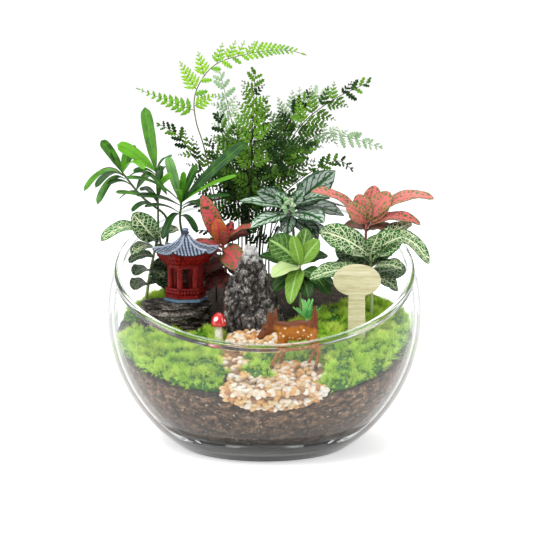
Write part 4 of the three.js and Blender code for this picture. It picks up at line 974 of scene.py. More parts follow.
def gravel_recipe(stone):
    recipe = Recipe("gravel_layer", ["Spacing", "Seed", "Stones per square metre"])
    spread = recipe.node("GeometryNodeDistributePointsOnFaces", {"distribute_method": "POISSON"}, {
        "Mesh": recipe.given("Geometry"), "Selection": recipe.sown(), "Distance Min": recipe.given("Spacing"),
        "Density Max": recipe.given("Stones per square metre"), "Seed": recipe.given("Seed")})
    stones = recipe.node("GeometryNodeInstanceOnPoints", {}, {
        "Points": spread, "Instance": recipe.node("GeometryNodeObjectInfo", {}, {"Object": stone}, "Geometry"),
        "Rotation": recipe.node("FunctionNodeEulerToRotation", {}, {
            0: recipe.vector((-0.6, -0.6, 0), (0.6, 0.6, 6.28), 2)}),
        "Scale": recipe.vector((1.9, 1.6, 1.7), (3.6, 2.8, 2.9), 4)})
    stones = recipe.marked(stones, "tone", recipe.number(0.12, 1, 6))
    real = recipe.node("GeometryNodeRealizeInstances", {}, {0: stones})
    rough = recipe.node("ShaderNodeTexNoise", {"noise_dimensions": "3D"}, {"Scale": 420.0, "Detail": 1.0}, 1)
    shift = recipe.node("ShaderNodeVectorMath", {"operation": "SUBTRACT"}, {0: rough, 1: (0.5, 0.5, 0.5)})
    shift = recipe.node("ShaderNodeVectorMath", {"operation": "SCALE"}, {0: shift, "Scale": 2.2 * MM})
    uneven = recipe.node("GeometryNodeSetPosition", {}, {"Geometry": real, "Offset": shift})
    recipe.end(uneven, pebble)
    return recipe


MOSS_DENSITY = 2.4e5
MAT_BELOW_TIPS = 2.2  # the shoots stand up from a mat that is this much lower than the moss
# The bed between the stones is painted dark brown: painted shade.
BED_SHADE_TONE = 0.1

tuft = spike_tuft()
carpeting = moss_recipe(tuft)
for number, (name, (centre, height, outline)) in enumerate(MATS.items()):
    cover = mat(name + "_shoots", outline, centre, height - MAT_BELOW_TIPS, 2.2, 31 + number)
    # The mat between the shoots takes tip 0, the dark foot colour: painted shade between the shoots.
    set_mark(cover.data, "tip", np.zeros(len(cover.data.vertices)))
    carpeting.cook(cover, **{"Shoots per square metre": MOSS_DENSITY, "Seed": number})
    kept_inside(cover.data, AT_GLASS)
    finish_piece(cover, moss, [name] if name in cad else ())
bpy.data.objects.remove(tuft)

stone = pebble_shape()
heap = mat("heap", HEAP, (-4, -17), 7, 1.6, 45)
path_mat = joined("gravel_stones", [mat("path", PATH, (6, -52), 1.7, 1.6, 44), heap, gravel_wall()])
set_mark(path_mat.data, "tone", np.full(len(path_mat.data.vertices), BED_SHADE_TONE))
gravel_recipe(stone).cook(path_mat, **{"Spacing": 2.3 * MM, "Seed": 5, "Stones per square metre": 9.0e5})
kept_inside(path_mat.data, AT_GLASS)
finish_piece(path_mat, pebble, ["gravel_path"])
bpy.data.objects.remove(stone)


# ------------------------------------------------------------- stones


def rough_stone(node, name, finish, cuts, lump, strata, limit_z):
    """A finer copy of a stone's solid, with its surface broken up."""
    made = bmesh.new()
    made.from_mesh(cad[node].data)
    bmesh.ops.remove_doubles(made, verts=made.verts, dist=1e-6)
    bmesh.ops.subdivide_edges(made, edges=made.edges, cuts=cuts, use_grid_fill=True, smooth=0.3)
    bmesh.ops.triangulate(made, faces=made.faces)
    piece = from_bmesh(name, made)
    mesh = piece.data
    mesh.shade_smooth()
    mesh.update()
    places = points_of(mesh)
    out = normals_of(mesh)
    flat = places * ((0.35, 0.35, 1.7) if strata else (1, 1, 0.75))
    rough = lumps(places, 9, 8) * 0.7 + lumps(flat, 3.6, 9, 5) * 0.7 + lumps(flat, 1.5, 10, 3) * 0.3
    cracks = np.clip(0.22 - np.abs(lumps(flat, 7, 12, 4)), 0, 0.22) * 5
    depth = (rough - 0.3) * lump - cracks * lump
    places = places + out * depth[:, None]
    places[:, 2] = np.minimum(places[:, 2], limit_z)
    move_points(mesh, places)
    # The mark is low in the cracks, painted shade, and high on the raised parts, partly wear and partly painted
    # highlight.
    set_mark(mesh, "worn", np.clip(0.5 + rough * 0.4 - cracks * 0.6, 0, 1))
    finish_piece(piece, finish, [node])


ROCK_TOP = 89
NO_LIMIT = 200
rough_stone("rock_flat", "flat_stone", layered, 8, 1.2, True, ROCK_TOP)
rough_stone("rock_tall", "tall_stone", dark_stone, 9, 1.5, False, NO_LIMIT)


# ------------------------------------------------------------- the pavilion

PAVILION = (-51, 19)
PAVILION_TURN = math.radians(10)
PLINTH_TOP = ROCK_TOP + CLEARANCE + 2
BODY_BASE = PLINTH_TOP + CLEARANCE
RAIL_TOP = 98.2
EAVE_BEAM = 111
BODY_TOP = 118.6
ROOF_LOW = BODY_TOP + CLEARANCE
COLUMN_CIRCLE = 9.9
RAIL_RADIUS = 13.4
BEAM_RADIUS = 12.7
SKIRT_LOW = EAVE_BEAM + 2.2
EAVE_BOW = 0.035


def sixth(radius, step):
    """A place on the pavilion's plan, by its radius and its angle in sixths of a turn."""
    angle = PAVILION_TURN + step * math.pi / 3
    return np.array([PAVILION[0] + radius * math.cos(angle), PAVILION[1] + radius * math.sin(angle)])


def on_side(radius, corner, side, scale):
    """A place on a side of the plan, from -1 at a corner to 1 at the next, drawn in by a scale."""
    share = (side + 1) / 2
    place = sixth(radius, corner) * (1 - share) + sixth(radius, corner + 1) * share
    return np.array(PAVILION) + (place - PAVILION) * scale


def hexagon(name, profile):
    """A closed six-sided block on the pavilion's plan."""
    return turned(name, [(0, profile[0][1]), *profile, (0, profile[-1][1])], PAVILION, 6, PAVILION_TURN, smooth=False)


def box_piece(name, centre, size, turn):
    """A box, turned about its upright axis."""
    made = bmesh.new()
    bmesh.ops.create_cube(made, size=1)
    box = from_bmesh(name, made)
    c, s = math.cos(turn), math.sin(turn)
    places = points_of(box.data) * MM * size @ np.array([[c, s, 0], [-s, c, 0], [0, 0, 1]])
    move_points(box.data, places + centre)
    return box


def bevelled(obj, width, segments=2):
    modifier = obj.modifiers.new("edge", "BEVEL")
    modifier.width = width * MM
    modifier.segments = segments
    modifier.limit_method = "ANGLE"
    return settled(obj)


RIB_SPACING = 2.25
EAVE_TILE = ((0, -0.42), (0.5, -0.42), (0.62, -0.1), (0.62, 0.3), (0.3, 0.42), (0, 0.42))
EAVE_RADIUS = 21.5
# The roof from its eaves up: radius to a corner, height, and how much the corner lifts
ROOF_RINGS = ((EAVE_RADIUS, 2.2, 2.4), (19.5, 2.5, 2.0), (14.5, 3.9, 0.9), (8.5, 6.4, 0.5), (4.8, 9.3, 0.3),
              (2.3, 12.8, 0))


def roof_at(share, side):
    """The roof's radius to a corner, height and corner lift at a share of the way up."""
    radius, height, lift = (np.interp(share, np.linspace(0, 1, 6), column) for column in zip(*ROOF_RINGS))
    return radius, height + lift * abs(side) ** 2.6


def eave_skirt():
    """The red brackets under the eaves: a flared skirt with three tiers of small blocks."""
    across_steps, tiers = 44, 20
    rings = []
    for j in range(tiers + 1):
        share = j / tiers
        tier = share * 3 % 1
        row = []
        for i in range(6 * across_steps):
            corner, step = divmod(i, across_steps)
            side = step / across_steps * 2 - 1
            radius, height = roof_at(0, side)
            reach = BEAM_RADIUS + (radius * 0.95 - BEAM_RADIUS) * share**0.85
            blocks = 5 + int(share * 2.99)
            rib = math.cos(math.pi * blocks * side) > -0.1
            out = (0.45 * rib + 0.25 * (tier > 0.5)) * (0.1 < share < 0.95)
            flat = on_side(reach, corner, side, 1 + out / reach - EAVE_BOW * share * (1 - side**2))
            top = ROOF_LOW + height - 0.45
            row.append((*flat, SKIRT_LOW + (top - SKIRT_LOW) * share**1.15))
        rings.append(np.array(row))
    return skin("skirt", (*PAVILION, SKIRT_LOW), rings, (*PAVILION, ROOF_LOW + 4))


def pavilion():
    """The plinth, and the red frame: floor, columns, railing, beam and the brackets under the eaves."""
    plinth = hexagon("pavilion_plinth_block", [
        (14.6, ROCK_TOP + CLEARANCE), (14.6, 90.6), (14.2, 90.8), (14.2, PLINTH_TOP)])
    plinth = bevelled(plinth, 0.2)
    finish_piece(plinth, plinth_paint, ["pavilion_plinth"])

    parts = [
        hexagon("floor", [(RAIL_RADIUS, BODY_BASE), (RAIL_RADIUS, BODY_BASE + 0.9), (12.6, BODY_BASE + 1.4)]),
        hexagon("beam", [
            (12, EAVE_BEAM), (12, EAVE_BEAM + 1.2), (BEAM_RADIUS, EAVE_BEAM + 1.4), (BEAM_RADIUS, EAVE_BEAM + 2.6)]),
        eave_skirt(),
    ]
    for corner in range(6):
        x, y = sixth(COLUMN_CIRCLE, corner)
        parts.append(turned("column", [
            (0, BODY_BASE + 0.6), (2.2, BODY_BASE + 0.6), (2.2, BODY_BASE + 2.0), (1.9, BODY_BASE + 2.5),
            (1.85, EAVE_BEAM - 1.6), (2.15, EAVE_BEAM - 1.1), (2.15, EAVE_BEAM + 0.8), (0, EAVE_BEAM + 1)], (x, y), 20))
        near, far = sixth(RAIL_RADIUS - 1.0, corner), sixth(RAIL_RADIUS - 1.0, corner + 1)
        slope = math.atan2(far[1] - near[1], far[0] - near[0])
        middle = (near + far) / 2
        width = np.linalg.norm(far - near)
        parts.append(box_piece("handrail", (*middle, RAIL_TOP - 0.55), (width + 0.9, 2.0, 1.1), slope))
        parts.append(box_piece("foot_rail", (*middle, BODY_BASE + 1.7), (width + 0.7, 1.5, 0.7), slope))
        for share in np.arange(6) / 6:
            spot = near + (far - near) * share
            parts.append(turned("baluster", [
                (0, BODY_BASE + 1.4), (0.62, BODY_BASE + 1.4), (0.5, BODY_BASE + 2.2), (1.0, 94.7), (1.12, 95.3),
                (0.95, 95.9), (0.5, 96.7), (0.62, 97.3), (0, RAIL_TOP - 0.7)], spot, 12))
    body = bevelled(joined("pavilion_frame", parts), 0.12, 1)
    finish_piece(body, red_paint, ["pavilion_body"])


def pavilion_roof():
    """The tiled shell, with its ball, its six ridges and the round ends of its tiles."""
    up_steps, across_steps = 24, 72
    rows, grooves = [], []
    for thickness in (0, 1):
        for j in range(up_steps + 1):
            share = j / up_steps if not thickness else 1 - j / up_steps
            row = []
            for i in range(6 * across_steps):
                corner, step = divmod(i, across_steps)
                side = step / across_steps * 2 - 1
                radius, height = roof_at(share, side)
                flat = on_side(radius, corner, side, 1 - EAVE_BOW * (1 - side**2))
                lateral = side * radius / 2
                wave = abs(math.cos(math.pi * lateral / RIB_SPACING))
                hip = max(0.0, 1 - (1 - abs(side)) * radius / 1.6)
                rib = 0 if thickness else 0.55 * wave + 0.9 * min(1, hip * 1.6)
                drop = 0.9 if thickness else 0
                row.append((*flat, ROOF_LOW + height - drop + rib * (1 - 0.5 * share)))
                course = 0.3 * (share * 10 % 1 < 0.35)
                # The groove mark is high in the grooves, along the eave's edge and on the underside, which turn dark
                # navy: painted lines and painted shade; it is low on the crests, which turn pale: painted highlight.
                grooves.append(0.9 if thickness or j == 0 else min(1, max(0, 1.8 - wave * 2.1) + course) * (hip < 0.2))
            rows.append(np.array(row))
    top = (*PAVILION, ROOF_LOW + 12.4)
    order = rows[up_steps + 1:] + rows[:up_steps + 1]
    shell = skin("shell", (PAVILION[0], PAVILION[1], ROOF_LOW + 11.4), order, top)
    half = (up_steps + 1) * 6 * across_steps
    set_mark(shell.data, "groove", [0.8, *grooves[half:], *grooves[:half], 0])
    parts = [shell]
    low = ROOF_LOW + 12
    ball = ((0, 0), (2.5, 0), (2.7, 0.8), (2.0, 1.3), (1.7, 1.6), (2.45, 2.2), (2.5, 2.8), (1.8, 3.3), (1.6, 3.5),
            (2.1, 4.1), (1.9, 4.9), (1.1, 5.4), (0, 5.6))
    finial = turned("finial", [(radius, low + rise) for radius, rise in ball], PAVILION, 24)
    heights = points_of(finial.data)[:, 2] - low
    set_mark(finial.data, "groove", np.where(heights > 3.5, 0.45, 0.8))
    parts.append(finial)
    for corner in range(6):
        ridge = Growth()
        spots = []
        for share in np.linspace(0, 0.97, 14):
            radius, height = roof_at(share, 1)
            spots.append((*sixth(radius * 0.998, corner), ROOF_LOW + height + 0.75 * (1 - 0.5 * share)))
        ridge.stem(spots, 0.75, 0.45, 10, spacing=1.2)
        obj = mesh_object("ridge", np.vstack(ridge.points), ridge.faces)
        set_mark(obj.data, "groove", np.zeros(len(obj.data.vertices)))
        parts.append(obj)
        for i in range(-4, 5):
            side = i * RIB_SPACING * 2 / EAVE_RADIUS
            radius, height = roof_at(0, side)
            flat = on_side(radius, corner, side, (1 - EAVE_BOW * (1 - side**2)) * 0.992)
            tile = turned("eave_tile", EAVE_TILE, (0, 0), 10)
            places = points_of(tile.data)
            facing = unit((sixth(1, corner + 0.5) - np.array(PAVILION)).tolist())
            sideways = np.array([-facing[1], facing[0]])
            moved = np.column_stack([
                flat[0] + facing[0] * places[:, 2] + sideways[0] * places[:, 0],
                flat[1] + facing[1] * places[:, 2] + sideways[1] * places[:, 0],
                ROOF_LOW + height + 0.1 + places[:, 1]])
            move_points(tile.data, moved)
            set_mark(tile.data, "groove", np.full(len(tile.data.vertices), 0.1))
            parts.append(tile)
    roof = joined("pavilion_roof_tiles", parts)
    roof.data.shade_smooth()
    finish_piece(roof, roof_paint, ["pavilion_roof"])


pavilion()
pavilion_roof()


# ------------------------------------------------------------- mushroom, fawn and sign


def mushroom():
    centre = (-29, -14)
    foot = ground(centre[1]) - 5
    stalk = turned("mushroom_stalk", [
        (0, foot), (2.5, foot), (2.9, foot + 1), (2.75, 71), (2.3, 75), (1.9, 78), (1.8, 80.4), (0, 80.4)], centre, 32)
    finish_piece(stalk, stalk_paint, ["mushroom"])
    cap = turned("mushroom_cap", [
        (0, 79.6), (1.7, 79.4), (3.3, 78.7), (4.3, 78.2), (4.75, 78.35), (4.9, 79.1), (4.85, 80.4), (4.62, 81.9),
        (4.2, 83.3), (3.5, 84.7), (2.6, 85.8), (1.4, 86.6), (0, 86.8)], centre, 48)
    finish_piece(cap, cap_paint)


def egg(centre, radii, pitch=0.0):
    """A ball stretched along three axes and pitched nose down."""
    made = bmesh.new()
    bmesh.ops.create_uvsphere(made, u_segments=32, v_segments=20, radius=1)
    ball = from_bmesh("egg", made)
    c, s = math.cos(pitch), math.sin(pitch)
    places = (points_of(ball.data) * MM * radii) @ np.array([[c, 0, -s], [0, 1, 0], [s, 0, c]])
    move_points(ball.data, places + centre)
    return ball


def limb(spots, radii):
    """A round limb through several places, each with its own radius."""
    route = Route(spots)
    lengths = np.concatenate([[0], np.cumsum(np.linalg.norm(np.diff(np.array(spots, float), axis=0), axis=1))])
    rings = []
    for share in np.linspace(0, 1, 24):
        middle, along = route.at(share)
        side = unit(np.cross(along, (0, 1, 0)))
        width = np.interp(share, lengths / lengths[-1], radii)
        rings.append(circle(middle, width, side, np.cross(along, side), 20))
    return skin("limb", route.place(0), rings, route.place(1))


# The fawn's legs: hip, knee, place of the hoof in plan, and the thigh's radius
LEGS = (
    ((11, -53.4, 80), (8.6, -54.2, 69), (4.5, -54.2), 3.2), ((13, -48.8, 80), (12, -48, 69), (10, -48), 3.0),
    ((27, -48.8, 81), (30.6, -48, 69.5), (27.6, -48), 3.8), ((28, -53.4, 81), (33.2, -54.2, 69.5), (31.5, -54.2), 4.0),
)
HOOF_LIFT = CLEARANCE * 2 + 1.2 + 0.75


def fawn():
    """The grazing fawn: round forms blended into one skin, then marked for its paint."""
    parts = [
        egg((20.5, -51.2, 82.2), (11.6, 5.1, 6.4), -0.1), egg((12.5, -51.2, 81.6), (5.2, 4.8, 6.0)),
        egg((28, -51.1, 82.2), (5.2, 5.0, 6.3)),
        limb([(14, -51.2, 83), (8, -51.6, 84.6), (3.4, -52.2, 84)], [4.6, 3.5, 3.1]),
        egg((2.2, -52.2, 83.4), (4.6, 3.4, 3.9), -0.7), egg((-1.4, -52.6, 79.8), (3.6, 2.1, 2.3), -0.95),
        limb([(0.5, -52.4, 81.6), (-3.9, -52.8, 77.4)], [2.5, 1.5]),
        limb([(29.5, -51, 84), (30.8, -50.8, 90), (30.5, -50.4, 97)], [2.7, 2.2, 0.8]),
        limb([(4.6, -53.8, 84.5), (3.2, -55.2, 90), (2.5, -56, 95)], [1.5, 2.0, 0.5]),
        limb([(5.8, -50.4, 85), (6.6, -48.4, 90.5), (7, -47, 95.5)], [1.5, 2.0, 0.5]),
    ]
    for hip, knee, hoof, thigh in LEGS:
        middle = np.array(hip) * 0.55 + np.array(knee) * 0.45
        foot = np.array([*hoof, ground(hoof[1]) + HOOF_LIFT])
        parts.append(limb([hip, middle, knee, foot + (0, 0, 2.2), foot], [thigh, thigh * 0.68, 1.25, 1.05, 1.35]))
    body = remeshed(joined("fawn_body", parts), 0.5, 3)
    places = points_of(body.data)
    x, z = places[:, 0], places[:, 2]
    ridge = np.interp(x, (-6, 4, 8, 14, 22, 30, 34), (90, 86.5, 85.4, 85.2, 85.6, 84.6, 82))
    back = np.clip((z - ridge + lumps(places, 4, 2, 2) * 0.8) / 1.4 + 0.5, 0, 1)
    ears = np.clip((z - 87) / 1.5, 0, 1) * (x < 12)
    tail = np.clip((z - 86.5) / 2, 0, 1) * (x > 26)
    head = np.clip((7.5 - x) / 2.5, 0, 1) * np.clip((z - 76) / 1.5, 0, 1)
    hooves = np.clip((61.3 - z) / 0.6, 0, 1)
    flank = np.clip((z - 76.5) / 1.5, 0, 1) * np.clip((ridge - z) / 1.5, 0, 1) * np.clip((x - 8.5) / 3, 0, 1)
    eyes = np.zeros(len(places))
    for eye in ((-0.2, -55.4, 83.6), (-0.2, -48.9, 83.6)):
        eyes = np.maximum(eyes, np.clip((1.0 - np.linalg.norm(places - eye, axis=1)) / 0.25, 0, 1))
    nose = np.clip((1.5 - np.linalg.norm(places - (-4.6, -52.8, 77.6), axis=1)) / 0.4, 0, 1)
    set_mark(body.data, "back", np.maximum.reduce([back, head, ears, tail * 0.9]))
    set_mark(body.data, "flank", flank)
    set_mark(body.data, "ink", np.maximum.reduce([eyes, nose, hooves * 0.8]))
    finish_piece(body, fawn_paint, ["fawn"])


def sign():
    """The oval board and its flat post, with nothing on them."""
    x, y, thick = 58, -18, 3
    half_width, half_height, level = 15, 10.2, 108
    low = ground(y) - 11
    made = bmesh.new()
    outline = [(x + half_width * math.cos(a), level + half_height * math.sin(a)) for a in azimuths(72)]
    for shape in (outline, [(x - 5.8, low), (x + 5.8, low), (x + 5.2, 100), (x - 5.2, 100)]):
        inset = 0.0 if shape is outline else 0.05
        front = [made.verts.new((px * MM, (y - thick / 2 + inset) * MM, pz * MM)) for px, pz in shape]
        rear = [made.verts.new((px * MM, (y + thick / 2 - inset) * MM, pz * MM)) for px, pz in shape]
        made.faces.new(front)
        made.faces.new(rear[::-1])
        for i in range(len(shape)):
            j = (i + 1) % len(shape)
            made.faces.new((front[j], front[i], rear[i], rear[j]))
    board = bevelled(from_bmesh("sign_board", made), 0.6, 3)
    finish_piece(board, wood, ["sign"])


mushroom()
fawn()
sign()


# ------------------------------------------------------------- plants

# Each plant by its node: its root in plan with its stem's radius, the stem's further places, and its leaves
# as start, tip, width, rise, the way that they face and their tone, where it is their own. A tone near 0 is painted
# shade, for the leaves low down and behind the others.
ROOTS = {
    "podocarpus_left": (-66, 51, 1.1), "podocarpus_back": (-61, 44, 1), "podocarpus_right": (-50, 50, 1.2),
    "fittonia_white_left": (-78, 37, 1.3), "fittonia_red_centre": (-26, 33, 1.3), "fittonia_pale_centre": (23, 15, 1.3),
    "pilea": (19, 38, 1.4), "fittonia_white_right": (69, 11, 1.4), "fittonia_red_right": (65, 29, 1.4),
    "star_plant": (27, -12, 1.1),
}
STEMS = {
    "podocarpus_left": ((-66, 46, 112), (-63.5, 42, 131), (-64.5, 39.6, 141), (-80, 40, 154), (-92.5, 38, 170)),
    "podocarpus_back": ((-65, 39, 110), (-69, 36, 130), (-69.5, 36, 152), (-70.5, 36, 171)),
    "podocarpus_right": ((-53, 46, 122), (-55.5, 43, 138), (-54.5, 42, 150)),
    "fittonia_white_left": ((-75, 33, 104), (-70, 28, 127)),
    "fittonia_red_centre": ((-25.5, 34, 100), (-25.5, 34, 110), (-27, 33, 123)),
    "fittonia_pale_centre": ((23, 15, 96), (23, 13.5, 113)),
    "pilea": ((19.5, 38, 112), (19, 37, 130), (17, 35, 147)),
    "fittonia_white_right": ((69, 11.5, 100), (68, 12, 121)),
    "fittonia_red_right": ((65.5, 29, 110), (66, 27.5, 138)),
}
